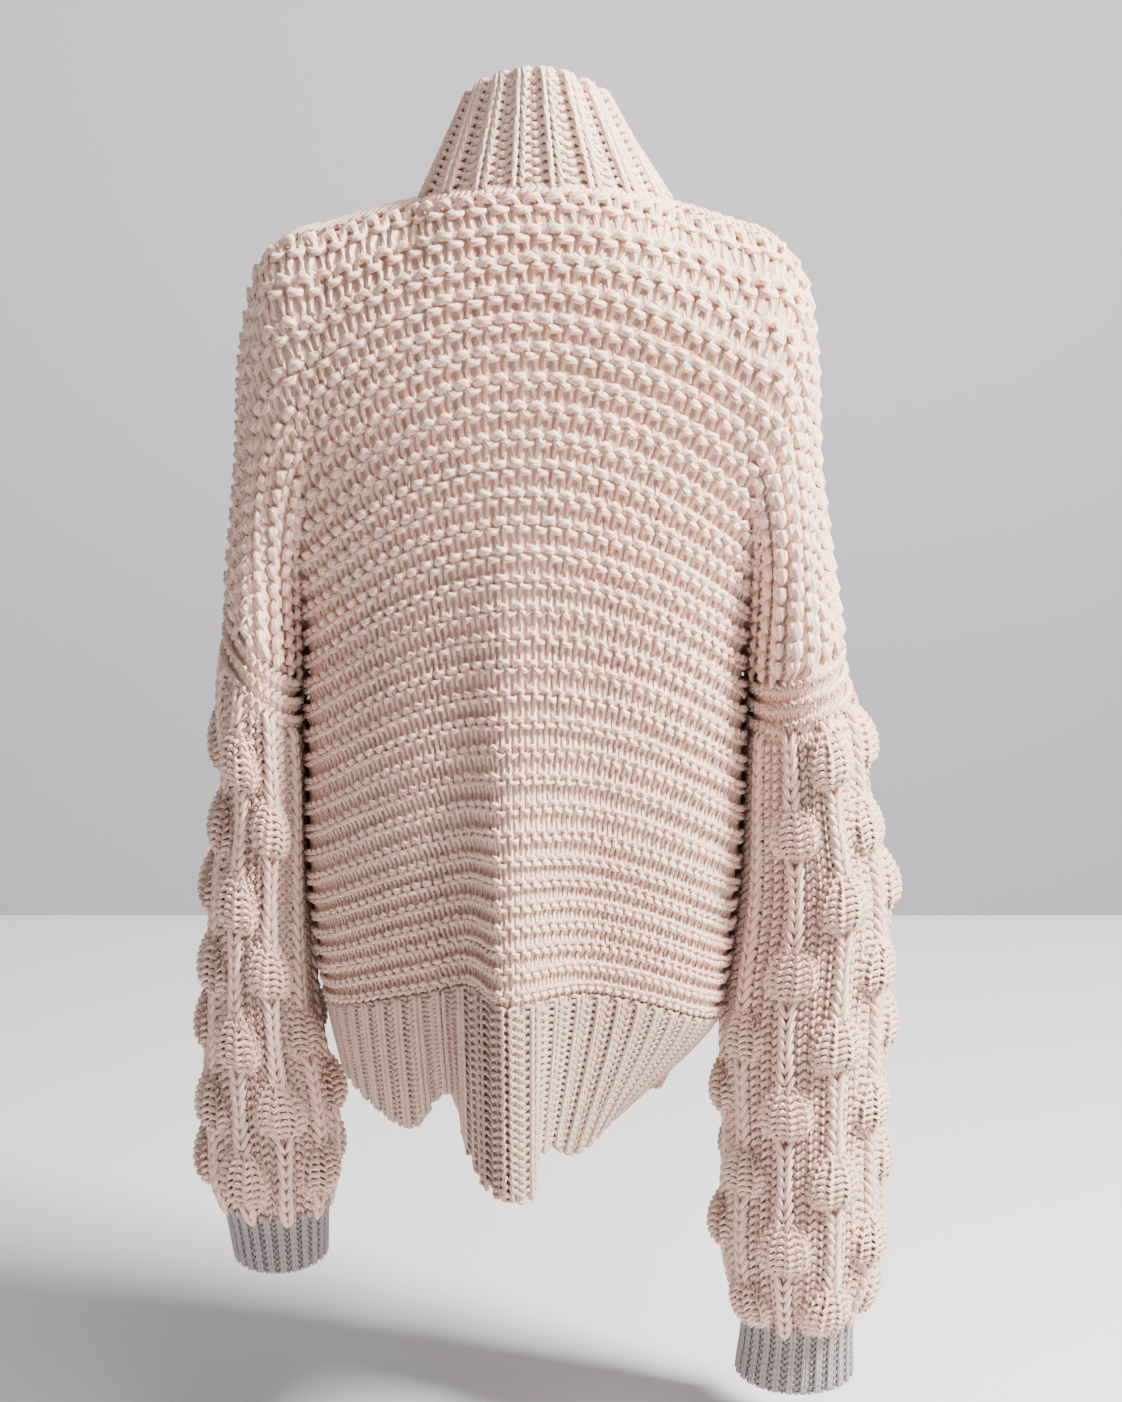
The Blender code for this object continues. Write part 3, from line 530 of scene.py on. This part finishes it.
def wool(name, colour, shade, twist=430.0):
    """Matt spun wool: soft plies twisted round each other, with painted shade in the grooves between them, fibres, and
    slow changes of colour.
    """
    material = bpy.data.materials.new(name)
    material.use_nodes = True
    nodes, links = material.node_tree.nodes, material.node_tree.links
    shader = nodes["Principled BSDF"]
    shader.inputs["Roughness"].default_value = 0.92
    shader.inputs["Specular IOR Level"].default_value = 0.18
    shader.inputs["Sheen Weight"].default_value = 0.14
    shader.inputs["Sheen Roughness"].default_value = 0.45
    shader.inputs["Sheen Tint"].default_value = (1.0, 0.93, 0.88, 1)

    def node(kind, **settings):
        made = nodes.new(kind)
        for key, value in settings.items():
            setattr(made, key, value)
        return made

    place = node("ShaderNodeNewGeometry")
    slow = node("ShaderNodeTexNoise")
    slow.inputs["Scale"].default_value = 9.0
    slow.inputs["Detail"].default_value = 3.0
    links.new(place.outputs["Position"], slow.inputs["Vector"])
    fine = node("ShaderNodeTexNoise")
    fine.inputs["Scale"].default_value = 260.0
    fine.inputs["Detail"].default_value = 4.0
    fine.inputs["Roughness"].default_value = 0.7
    links.new(place.outputs["Position"], fine.inputs["Vector"])
    ramp = node("ShaderNodeValToRGB")
    ramp.color_ramp.elements[0].position = 0.32
    ramp.color_ramp.elements[0].color = (*shade, 1)
    ramp.color_ramp.elements[1].position = 0.62
    ramp.color_ramp.elements[1].color = (*colour, 1)
    links.new(slow.outputs["Fac"], ramp.inputs["Fac"])
    map_uv = node("ShaderNodeUVMap", uv_map="knit")
    split = node("ShaderNodeSeparateXYZ")
    links.new(map_uv.outputs["UV"], split.inputs["Vector"])
    along = node("ShaderNodeMath", operation="MULTIPLY")
    along.inputs[1].default_value = twist
    links.new(split.outputs["Y"], along.inputs[0])
    round_ = node("ShaderNodeMath", operation="MULTIPLY")
    round_.inputs[1].default_value = PLIES * 2 * pi
    links.new(split.outputs["X"], round_.inputs[0])
    both = node("ShaderNodeMath", operation="ADD")
    links.new(along.outputs[0], both.inputs[0])
    links.new(round_.outputs[0], both.inputs[1])
    ply = node("ShaderNodeMath", operation="SINE")
    links.new(both.outputs[0], ply.inputs[0])
    # Painted shade: the colour darkens to 0.70 in the grooves between the plies; the fibre noise below is the wool's
    # own tone.
    ply_groove_shade = node("ShaderNodeMapRange")
    ply_groove_shade.inputs["From Min"].default_value = -1.0
    ply_groove_shade.inputs["From Max"].default_value = -0.2
    ply_groove_shade.inputs["To Min"].default_value = 0.70
    ply_groove_shade.inputs["To Max"].default_value = 1.0
    links.new(ply.outputs[0], ply_groove_shade.inputs["Value"])
    fibre = node("ShaderNodeMapRange")
    fibre.inputs["From Min"].default_value = 0.3
    fibre.inputs["From Max"].default_value = 0.7
    fibre.inputs["To Min"].default_value = 0.90
    fibre.inputs["To Max"].default_value = 1.06
    links.new(fine.outputs["Fac"], fibre.inputs["Value"])
    # the painted shade of the ply grooves, times the fibres' own tone
    depth = node("ShaderNodeMath", operation="MULTIPLY")
    links.new(ply_groove_shade.outputs["Result"], depth.inputs[0])
    links.new(fibre.outputs["Result"], depth.inputs[1])
    tint = node("ShaderNodeVectorMath", operation="SCALE")
    links.new(ramp.outputs["Color"], tint.inputs[0])
    links.new(depth.outputs[0], tint.inputs["Scale"])
    links.new(tint.outputs["Vector"], shader.inputs["Base Color"])
    height = node("ShaderNodeMath", operation="MULTIPLY_ADD")
    height.inputs[1].default_value = 0.5
    links.new(ply.outputs[0], height.inputs[0])
    links.new(fine.outputs["Fac"], height.inputs[2])
    bump = node("ShaderNodeBump")
    bump.inputs["Strength"].default_value = 0.5
    bump.inputs["Distance"].default_value = 0.0009
    links.new(height.outputs[0], bump.inputs["Height"])
    links.new(bump.outputs["Normal"], shader.inputs["Normal"])
    return material


BODY_WOOL = wool("wool_body", (0.97, 0.685, 0.56), (0.93, 0.63, 0.505))
RIB_WOOL = wool("wool_rib", (0.96, 0.685, 0.565), (0.91, 0.625, 0.51))
# Painted shade: the cuffs' wool is much darker and greyer than the body's, for the shade the low cuffs hang in.
CUFF_WOOL_PAINTED_SHADE = wool("cuff_wool_painted_shade", (0.42, 0.36, 0.37), (0.37, 0.315, 0.325))
# Painted shade: the hem band's wool is darker than the body's, for the shade at the bottom of the back.
HEM_WOOL_PAINTED_SHADE = wool("hem_wool_painted_shade", (0.73, 0.51, 0.42), (0.665, 0.455, 0.37))
# Painted shade: the backings are coloured darker than their yarn, for the shade in the gaps between the stitches; the
# cuffs' backing also carries the cuffs' painted shade.
PAINTED_SHADE_BACKING_WOOL = wool("backing_wool_painted_shade", (0.62, 0.435, 0.355), (0.56, 0.39, 0.315), twist=0.0)
RIB_PAINTED_SHADE_BACKING_WOOL = wool("rib_backing_wool_painted_shade", (0.66, 0.475, 0.395), (0.60, 0.43, 0.355), twist=0.0)
CUFF_PAINTED_SHADE_BACKING_WOOL = wool("cuff_backing_wool_painted_shade", (0.42, 0.34, 0.315), (0.38, 0.305, 0.28), twist=0.0)

# ---------------------------------------------------------------- body

# how a stitch is shaped: lean of its legs, in wales; how far it reaches into the next courses;
# how far the yarn goes in front and behind; how far a garter ridge and a rib stand out; lift; yarn
GARTER = {"lean": 0.18, "reach": 0.84, "flat": 0.5, "cross": 0.0016, "ridge": 0.0036, "rib": 0.0, "lift": 0.0012, "sink": 0.0022, "yarn": 0.0027, "plump": 0.30, "broad": 0.55, "feet": 0.5, "tilt": 0.06}
WING_PITCH = 0.024  # a dropped shoulder's stitches are full size where its ridges are this far apart
WING_FINER = (0.55, 1.1)
RIBBED = {"lean": 0.17, "reach": -0.80, "flat": 0.9, "cross": 0.0014, "ridge": 0.0, "rib": 0.0034, "lift": 0.0010, "sink": 0.0, "yarn": 0.0022, "plump": 0.1, "broad": 0.1, "feet": 1.0, "tilt": 0.0}
GARTER_BACKING = 0.0013
PATCH_EASE = 1.3  # the backing is finer towards the middle, where the fold is
ROUND_SIDE = 0.006  # how far the back's courses go on round the side of the body
STITCH_WIDTH = {
    "row": (0.0, 3.0, 6.0, 9.0, 13.0, 17.0, 22.0, 30.0),
    "width": (0.0180, 0.0164, 0.0150, 0.0134, 0.0120, 0.0106, 0.0090, 0.0085),
}


def garter(course, wale):
    """Knit and purl courses in turn."""
    return np.full(np.shape(wale), -1.0 if int(course) % 2 == 0 else 1.0)


def torso_place(at_course, at_wale):
    row = at_course / 2
    return row, at_wale * smooth(STITCH_WIDTH, "width", row)


def torso_yarn(cloth, sides, parts, grain, first_course=0, last_course=RIDGES * 2):
    """The courses of a back or front. parts gives where each course starts and ends."""
    lines = []

    def size(at_course, at_wale):
        """Stitches are finer on the dropped shoulders, and where the ridges lie closer."""
        row, along = torso_place(at_course, at_wale)
        side = np.where(along > 0, np.interp(row, TORSO_ROWS, sides[1]), np.interp(row, TORSO_ROWS, sides[-1]))
        (pitch,) = cloth.mixed(row, along, cloth.pitch)
        there = np.clip((np.abs(along) - side + 0.02) / 0.05, 0, 1)
        return 1 - there * (1 - np.clip(pitch / WING_PITCH, *WING_FINER))

    for course in range(first_course, last_course):
        row = (course + 0.5) / 2
        width = smooth(STITCH_WIDTH, "width", row)
        coarse = width / STITCH_WIDTH["width"][0]
        fine = 2 - 2 * coarse
        stitch = dict(
            GARTER,
            yarn=GARTER["yarn"] * (1 - 0.375 * fine),
            lean=0.235 - 0.045 * fine,
            ridge=GARTER["ridge"] * (1 - 0.28 * fine),
            sink=GARTER["sink"] * (1 - 0.5 * fine),
            feet=GARTER["feet"] + 0.4 * fine,
        )
        for low, high in parts(row):
            lines.append(path(cloth, course, low / width, high / width, stitch, torso_place, garter, grain, size=size))
    return lines


back_cloth, back_ends, back_sides = torso(1)
front_cloth, front_ends, front_sides = torso(-1)


def back_parts(row):
    beyond = ROUND_SIDE if row > WING_ROWS else 0
    return [(-np.interp(row, TORSO_ROWS, back_ends[-1]) - beyond, np.interp(row, TORSO_ROWS, back_ends[1]) + beyond)]


def front_start(side, row):
    """How far from the middle a front's edge is, along its row."""
    line = body(side * np.linspace(0, 1, 90), row, -1)
    return np.interp(edge_place(side, np.array([row]))[0], np.linspace(0, 1, 90), lengths(line))


def front_parts(side):
    def parts(row):
        low, high = front_start(side, row), np.interp(row, TORSO_ROWS, front_ends[side])
        return [(low, high)] if side > 0 else [(-high, -low)]

    return parts


def torso_patch(face, side, first, rows, columns):
    """A grid of the body's cloth from `first`, a share of the way to one side, out to that side."""
    start = np.interp(rows, first[0], first[1])[:, None]
    shares = np.linspace(0, 1, columns) ** PATCH_EASE
    across = start + (1 - start) * shares[None, :]
    cloth = body(side * across, np.repeat(rows[:, None], columns, axis=1), face)
    deep = GARTER_BACKING * np.cos(2 * pi * rows)[:, None] * np.sin(pi * shares).clip(0, 0.5)[None, :] * 2
    cloth[..., 1] -= face * deep
    return cloth


def wing_patch(face, side):
    """A grid of the dropped shoulder's cloth."""
    rows = np.linspace(0, UNDERARM, 29)[:, None]
    return wing(side, np.concatenate([np.linspace(0, BRIDGE, 4), np.linspace(BRIDGE, 1, 22)[1:]])[None, :], rows, face)


def sheet_of(name, patches, wool):
    """One mesh from several grids of points."""
    points, quads, uv, used = [], [], [], 0
    for patch in patches:
        rows, columns = patch.shape[:2]
        i, j = np.meshgrid(np.arange(rows - 1), np.arange(columns - 1), indexing="ij")
        corner = used + i.ravel() * columns + j.ravel()
        quads.append(np.stack([corner, corner + columns, corner + columns + 1, corner + 1], axis=-1))
        down, along = np.meshgrid(np.linspace(0, 1, rows), np.linspace(0, 1, columns), indexing="ij")
        uv.append(np.stack([along.ravel(), down.ravel()], axis=-1))
        points.append(patch.reshape(-1, 3))
        used += rows * columns
    quads = np.concatenate(quads)
    return mesh_of(name, np.concatenate(points), quads, np.concatenate(uv)[quads.ravel()], wool)


pieces = {}
fine_rows = np.arange(0, RIDGES + 0.25, 0.25)
middle_out = (fine_rows, 0 * fine_rows)
back_patches = [torso_patch(1, side, middle_out, fine_rows, 27) for side in (1, -1)]
back_shell = sheet_of("back_backing", back_patches + [wing_patch(1, side) for side in (1, -1)], PAINTED_SHADE_BACKING_WOOL)
split_course = 26
shoulder_seam = chain(back_cloth, 0.08, -back_ends[-1][0], back_ends[1][0], 0.09, 0.011)
back_knit = [
    tubes("back_knit_upper", torso_yarn(back_cloth, back_sides, back_parts, 8, 0, split_course) + shoulder_seam, 5, BODY_WOOL),
    tubes("back_knit_lower", torso_yarn(back_cloth, back_sides, back_parts, 7, split_course), 4, BODY_WOOL),
]
pieces["back"] = (back_shell, back_knit, "wool")
for side, name in ((1, "left"), (-1, "right")):
    from_band = (fine_rows, edge_place(side, fine_rows))
    patches = [torso_patch(-1, side, from_band, fine_rows, 16), wing_patch(-1, side)]
    shell = sheet_of(f"front_{name}_backing", patches, PAINTED_SHADE_BACKING_WOOL)
    knit = tubes(f"front_{name}_knit", torso_yarn(front_cloth, front_sides, front_parts(side), 6), 4, BODY_WOOL)
    pieces["front_" + name] = (shell, [knit], "wool")

# ---------------------------------------------------------------- ribbing


def rib_knit(kinds):
    """Knit and purl wales by their order in a rib, eased into each other."""

    def knit(course, wale):
        kind = np.array(kinds, float)
        middle = np.asarray(wale) - 0.5
        low = np.floor(middle).astype(int)
        part = np.clip((middle - low - 0.25) / 0.5, 0, 1)
        part = part * part * (3 - 2 * part)
        return kind[low % len(kind)] * (1 - part) + kind[(low + 1) % len(kind)] * part

    return knit


def rib_place(shares, ribs, courses):
    """From a course and a wale to shares of a ribbed piece's depth and length."""
    edges = np.concatenate([[0], np.cumsum(shares)]) / np.sum(shares)

    def place(at_course, at_wale):
        wales = len(shares)
        rib = np.floor(at_wale / wales)
        inside = np.interp(at_wale - rib * wales, np.arange(wales + 1), edges)
        return at_course / courses, (rib + inside) / ribs

    return place


def filled(down, along):
    """A backing that lies among the purl stitches."""
    return np.full(np.shape(down), RIB_FILL)


RIB_FILL = 0.0009
HEM_RIB = (1, -1)
HEM_SHARES = (0.45, 0.55)
HEM_COURSES = 23


def ribbed(name, cloth, ribs, courses, kinds, shares, stitch, grain, sides, wool_, closed=False):
    """The yarn of a ribbed piece whose cloth goes by shares of its depth and length."""
    place = rib_place(shares, ribs, courses)
    wales = ribs * len(kinds)
    lines = [path(cloth, course, 0, wales, stitch, place, rib_knit(kinds), grain) for course in range(courses)]
    return tubes(name, lines, sides, wool_)


def share_cloth(function, outward, downs=61, alongs=401, first=0.0, last=1.0):
    """A Cloth from a function of two shares."""
    down, along = np.linspace(0, 1, downs), np.linspace(first, last, alongs)
    points = function(down[:, None], along[None, :])
    return Cloth(points, down, along, outward)


edge_left = edge_place(1, np.array([float(RIDGES)]))[0]
edge_right = edge_place(-1, np.array([float(RIDGES)]))[0]
HEM_STITCH = dict(RIBBED, rib=0.0022, cross=0.0011, yarn=0.0023)
for name, first, last, face, ribs in (
    ("hem_back", -1, 1, 1, 27),
    ("hem_front_left", edge_left, 1, -1, 8),
    ("hem_front_right", -edge_right, -1, -1, 8),
):
    outward = face if last > first else -face
    cloth = share_cloth(lambda down, along: hem(first + (last - first) * along, down, face), outward)
    knit = ribbed(name + "_knit", cloth, ribs, HEM_COURSES, HEM_RIB, HEM_SHARES, HEM_STITCH, 6, 4, HEM_WOOL_PAINTED_SHADE)
    shell = backing(name + "_backing", cloth, np.linspace(0, 0.985, 16), np.linspace(0, 1, 121), RIB_PAINTED_SHADE_BACKING_WOOL, raised=filled)
    pieces[name] = (shell, [knit], "wool_rib")

# collar and front bands
edge, way = band_edge()
band_length = lengths(edge)


def band_point(down, along):
    at = along * band_length[-1]
    start = np.stack([np.interp(at, band_length, edge[:, i]) for i in range(3)], axis=-1)
    out = np.stack([np.interp(at, band_length, way[:, i]) for i in range(3)], axis=-1)
    return start + out * (BAND_START + BAND_WIDTH * (1 - down))[..., None]


SEAM_DROP = 0.003
BAND_RIBS = int(round(band_length[-1] / 0.030))
BAND_COURSES = 13
BAND_STITCH = dict(RIBBED, rib=0.0034, cross=0.0016, yarn=0.0031)
band_cloth = share_cloth(lambda down, along: band_point(*np.broadcast_arrays(down, along)), -1, downs=31, alongs=1201)
band_knit = ribbed("collar_and_bands_knit", band_cloth, BAND_RIBS, BAND_COURSES, (1, -1), (0.46, 0.54), BAND_STITCH, 6, 4, RIB_WOOL)
band_shell = backing("collar_and_bands_backing", band_cloth, np.linspace(0.02, 1, 10), np.linspace(0, 1, 361), RIB_PAINTED_SHADE_BACKING_WOOL, raised=filled)


front_points = len(edge) // 2 - 29
first_seam, last_seam = band_length[front_points - 8] / band_length[-1], band_length[-front_points + 7] / band_length[-1]
seam = chain(band_cloth, 0.975, first_seam, last_seam, 0.022, 0.0085 / band_length[-1])
for line in seam:
    line[0][:, 2] -= SEAM_DROP
band_seam = tubes("collar_seam", seam, 5, RIB_WOOL)
pieces["collar_and_bands"] = (band_shell, [band_knit, band_seam], "wool_rib")

# ---------------------------------------------------------------- sleeves and cuffs

COLUMN_WALES = 4
SLEEVE_WALES = BOBBLES_ROUND * COLUMN_WALES
COURSE_HEIGHT = 0.0078
TOP_COURSES = 6  # of garter, below the armhole
GROUND = {"lean": 0.15, "reach": 0.74, "flat": 1.0, "cross": 0.0030, "ridge": 0.0, "rib": 0.0, "lift": 0.0006, "sink": 0.0, "yarn": 0.0022, "plump": 0.35, "broad": 0.35, "feet": 1.0, "tilt": 0.0}
SLEEVE_TOP = dict(GARTER, ridge=0.0030, yarn=0.0020, flat=0.9)
BOBBLE_COURSES = 9
BOBBLE_WALES = 5
BOBBLE_YARN = 0.0024
BOBBLE_REACH = 0.72
BOBBLE_CROSS = 0.0026
BOBBLE_HIGH = 0.0145
ROPE = {"height": 0.0105, "wide": (0.016, 0.0105), "yarn": 0.0028, "lift": 0.0046, "front": 0.0022}


def bobble_share(side, around, z):
    """How far bobbles stand out here: less where the sleeve lies against the body."""
    inside = np.clip(np.abs(around % 1 - 0.5) / 0.17 - 0.35, 0, 1)
    high = np.clip(-z - 0.62, 0, 0.1) / 0.1
    return np.maximum(inside, high)


def phase_of(column):
    """Where in each drop a column's bobbles are: every second column's lie between the others'."""
    return 0.5 * (column % 2) + 0.45


def rope(cloth, around, ring_size, down, per_metre, wide):
    """One V of a rope of slipped stitches, as a line of thick yarn."""
    at = np.linspace(-1, 1, 9)
    size = np.abs(at)
    across = np.sign(at) * wide / 2 * size**0.9
    tall = ROPE["height"] * (0.80 - 1.5 * size)
    high = ROPE["lift"] + ROPE["front"] * (np.sin(pi * (0.12 + 0.88 * size)) * 1.5 - 0.5)
    point, normal = cloth.at(down + tall * per_metre, around + across / ring_size)
    yarn = ROPE["yarn"] * (0.78 + 0.22 * np.sin(pi * size))
    return point + normal * high[:, None], normal, yarn, np.ones(len(at), bool), np.ones(len(at))


def dome(across, tall):
    """How high a bobble stands, from 0 to 1, at these shares of its half width and half height."""
    tall = tall - 0.25 * (1 - tall**2).clip(0)
    return (1 - np.abs(across) ** 2.2 - np.abs(tall) ** 2.2).clip(0) ** 0.66


for side, name in ((1, "left"), (-1, "right")):
    top = float(wing(side, BRIDGE, float(UNDERARM), 1)[2])
    low, cuff = SLEEVE[side]["z"][-1], SLEEVE[side]["z"][-2]
    seam_down = (top - cuff) / (top - low)
    per_metre = 1 / (top - low)
    courses = int(round((top - cuff) / COURSE_HEIGHT))
    pad = 3 / SLEEVE_WALES
    downs = np.linspace(0, 1, 241)
    arounds = np.linspace(-pad, 1 + pad, 401)
    plain = Cloth(sleeve(side, arounds[None, :], downs[:, None]), downs, arounds, -side)
    tries = np.linspace(0, seam_down, 400)

    spots = []  # the bobbles: where around, how far below the top, share of the full height
    for column in range(BOBBLES_ROUND):
        around = column / BOBBLES_ROUND
        z = plain.at(tries, np.full(400, around))[0][:, 2]
        for turn in range(-1, 7):
            drop = (turn + phase_of(column)) * BOBBLE_DROP
            down = np.interp(drop, top - z, tries)
            share = float(bobble_share(side, around, top - drop))
            from_top = drop - (top - z[0]) - TOP_COURSES * COURSE_HEIGHT
            if from_top > BOBBLE_SIZE[1] * 0.8 and top - cuff - drop > BOBBLE_SIZE[1] * 0.7 and share > 0.25:
                spots.append((around, drop, down, share))

    def relief(around, z):
        """The height of the bobbles at these places, from 0 to 1."""
        height = np.zeros(np.shape(around))
        for place_, drop, _, share in spots:
            away = (around - place_ + 0.5) % 1 - 0.5
            wide = away * BOBBLES_ROUND * COLUMN_WIDTH / BOBBLE_SIZE[0]
            height = np.maximum(height, share * dome(wide, (top - z - drop) / BOBBLE_SIZE[1]))
        return height

    swell = relief(arounds[None, :] + 0 * plain.points[..., 2], plain.points[..., 2])
    swollen = Cloth(plain.points + plain.normals * (swell * (BOBBLE_HIGH - 0.0022) - 0.0006)[..., None], downs, arounds, -side)

    def place(at_course, at_wale, courses=courses, seam_down=seam_down):
        return at_course / courses * seam_down, at_wale / SLEEVE_WALES

    def keep(at_course, at_wale):
        point, _ = plain.at(*place(at_course, at_wale))
        return relief(at_wale / SLEEVE_WALES, point[..., 2]) < 0.45

    def purl(course, wale):
        """Garter at the top, then purl."""
        return garter(course, wale) if course <= TOP_COURSES else np.full(np.shape(wale), -1.0)

    lines = []
    for course in range(courses):
        stitch = SLEEVE_TOP if course < TOP_COURSES else GROUND
        lines.append(path(plain, course, 0, SLEEVE_WALES, stitch, place, purl, 6, keep))
    bobbles, ropes = [], []
    for around, drop, down, share in spots:
        ring_size = lengths(plain.at(np.full(200, down), np.linspace(0, 1, 200))[0])[-1]
        for course in range(BOBBLE_COURSES):
            wale = np.linspace(0, BOBBLE_WALES, BOBBLE_WALES * 6 + 1)
            phase = 2 * pi * wale
            swing = np.cos(phase)
            step = BOBBLE_REACH * np.sign(swing) * np.abs(swing)
            tall = (2 * (course + 0.5 + step) / BOBBLE_COURSES - 1) * 0.98
            turned = (wale + 0.11 * np.sin(2 * phase)) / BOBBLE_WALES - 0.5
            wide = np.sin(turned * radians(172)) * (1 - (tall - 0.25 * (1 - tall**2).clip(0)) ** 2).clip(0.08) ** 0.5
            high = BOBBLE_HIGH * share * dome(wide, tall.clip(-1, 1)) + BOBBLE_CROSS * np.cos(2 * phase)
            point, normal = plain.at(down + tall * BOBBLE_SIZE[1] * per_metre, around + wide * BOBBLE_SIZE[0] * 1.12 / ring_size)
            yarn = BOBBLE_YARN * (1 + 0.15 * np.clip(np.cos(2 * phase), 0, 1))
            bobbles.append((point + normal * high[:, None], normal, yarn, np.ones(len(wale), bool), 1.0 + 0 * wale))
    for column in range(BOBBLES_ROUND):
        around = column / BOBBLES_ROUND
        drops = top - plain.at(tries, np.full(400, around))[0][:, 2]
        found = [drop for place_, drop, _, _ in spots if place_ == around]
        first, last = drops[0] + TOP_COURSES * COURSE_HEIGHT, top - cuff
        stops = [first - BOBBLE_SIZE[1]] + found + [last + BOBBLE_SIZE[1]]
        for index, (above, beneath) in enumerate(zip(stops, stops[1:])):
            start, end = above + BOBBLE_SIZE[1] * 0.98, beneath - BOBBLE_SIZE[1] * 0.72
            count = int(round((end - start) / ROPE["height"]))
            for step in range(max(count, 0)):
                part = (step + 0.5) / count
                drop = start + (end - start) * part
                down = float(np.interp(drop, drops, tries))
                ring_size = lengths(plain.at(np.full(200, down), np.linspace(0, 1, 200))[0])[-1]
                under = max(1 - part * 2.2, 0) if index > 0 else 0
                over = max(part * 2.2 - 1.2, 0) if index + 1 < len(stops) - 1 else 0
                wide = ROPE["wide"][1] + (ROPE["wide"][0] - ROPE["wide"][1]) * max(under, over)
                ropes.append(rope(plain, around, ring_size, down, per_metre, wide))
    knit = tubes(f"sleeve_{name}_knit", lines, 4, BODY_WOOL)
    bumps = tubes(f"sleeve_{name}_bobbles", bobbles, 4, BODY_WOOL)
    cords = tubes(f"sleeve_{name}_ropes", ropes, 4, BODY_WOOL)
    shell = backing(f"sleeve_{name}_backing", swollen, np.linspace(0, seam_down, 73), np.linspace(0, 1, 85), PAINTED_SHADE_BACKING_WOOL, closed=True)
    pieces["sleeve_" + name] = (shell, [knit, bumps, cords], "wool")

    cuff_cloth = share_cloth(lambda down, along: sleeve(side, along, seam_down + (1 - seam_down) * down), -side, first=-0.05, last=1.05)
    knit = ribbed(f"cuff_{name}_knit", cuff_cloth, 26, 10, (1, -1), (0.45, 0.55), dict(HEM_STITCH, yarn=0.0019, rib=0.0020), 6, 4, CUFF_WOOL_PAINTED_SHADE)
    shell = backing(f"cuff_{name}_backing", cuff_cloth, np.linspace(0, 0.97, 8), np.linspace(0, 1, 105), CUFF_PAINTED_SHADE_BACKING_WOOL, closed=True, raised=filled)
    pieces["cuff_" + name] = (shell, [knit], "wool_rib")

# ---------------------------------------------------------------- each piece's backing and yarn under the root body, its CAD part hidden


for node, (shell, knits, slot) in pieces.items():
    for piece in (shell, *knits):
        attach(piece, "root")
    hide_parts(node)

# ---------------------------------------------------------------- camera, light and floor


def stage_plane(name, corners, colour):
    mesh = bpy.data.meshes.new(name)
    mesh.from_pydata(corners, [], [(0, 1, 2, 3)])
    plane = bpy.data.objects.new(name, mesh)
    bpy.context.scene.collection.objects.link(plane)
    material = bpy.data.materials.new(name)
    material.use_nodes = True
    shader = material.node_tree.nodes["Principled BSDF"]
    shader.inputs["Base Color"].default_value = (*colour, 1)
    shader.inputs["Roughness"].default_value = 0.85
    mesh.materials.append(material)


FLOOR = -1.10
FLOOR_END = -1.62
WALL_Y = -3.5  # behind the camera of a view from the front
stage_plane("floor", [(-6, FLOOR_END, FLOOR), (6, FLOOR_END, FLOOR), (6, 8, FLOOR), (-6, 8, FLOOR)], (0.70, 0.70, 0.71))
stage_plane("wall", [(-9, WALL_Y, -5), (9, WALL_Y, -5), (9, WALL_Y, 6), (-9, WALL_Y, 6)], (0.72, 0.70, 0.76))

camera = bpy.data.cameras.new("camera")
camera.sensor_fit = "VERTICAL"
camera.sensor_height = 24.0
camera.lens = 2500 / 1402 * 24.0
viewer = bpy.data.objects.new("camera", camera)
viewer.location = (-0.0286, 2.0541, 0.016)
viewer.rotation_euler = (radians(78), 0, radians(180))
bpy.context.scene.collection.objects.link(viewer)
bpy.context.scene.camera = viewer


def area_light(name, place, aim, size, power, colour):
    light = bpy.data.lights.new(name, "AREA")
    light.shape = "SQUARE"
    light.size = size
    light.energy = power
    light.color = colour
    lamp = bpy.data.objects.new(name, light)
    lamp.location = place
    direction = np.array(aim, float) - np.array(place, float)
    from mathutils import Vector

    lamp.rotation_euler = Vector(direction).to_track_quat("-Z", "Y").to_euler()
    bpy.context.scene.collection.objects.link(lamp)


area_light("key", (-1.75, 0.72, 1.35), (0, 0, -0.35), 0.6, 375, (1.0, 0.965, 0.93))
area_light("fill", (1.6, 2.8, 0.6), (0, 0, -0.5), 2.2, 6, (0.92, 0.95, 1.0))
area_light("top", (-0.7, 1.0, 2.3), (0, 0, -0.4), 1.2, 40, (1.0, 0.98, 0.96))
area_light("front", (0.6, -1.3, 1.6), (0, 0, -0.4), 1.6, 10, (1.0, 0.98, 0.96))

world = bpy.data.worlds.new("studio")
world.use_nodes = True
world.node_tree.nodes["Background"].inputs["Color"].default_value = (0.70, 0.71, 0.74, 1)
world.node_tree.nodes["Background"].inputs["Strength"].default_value = 0.38
bpy.context.scene.world = world
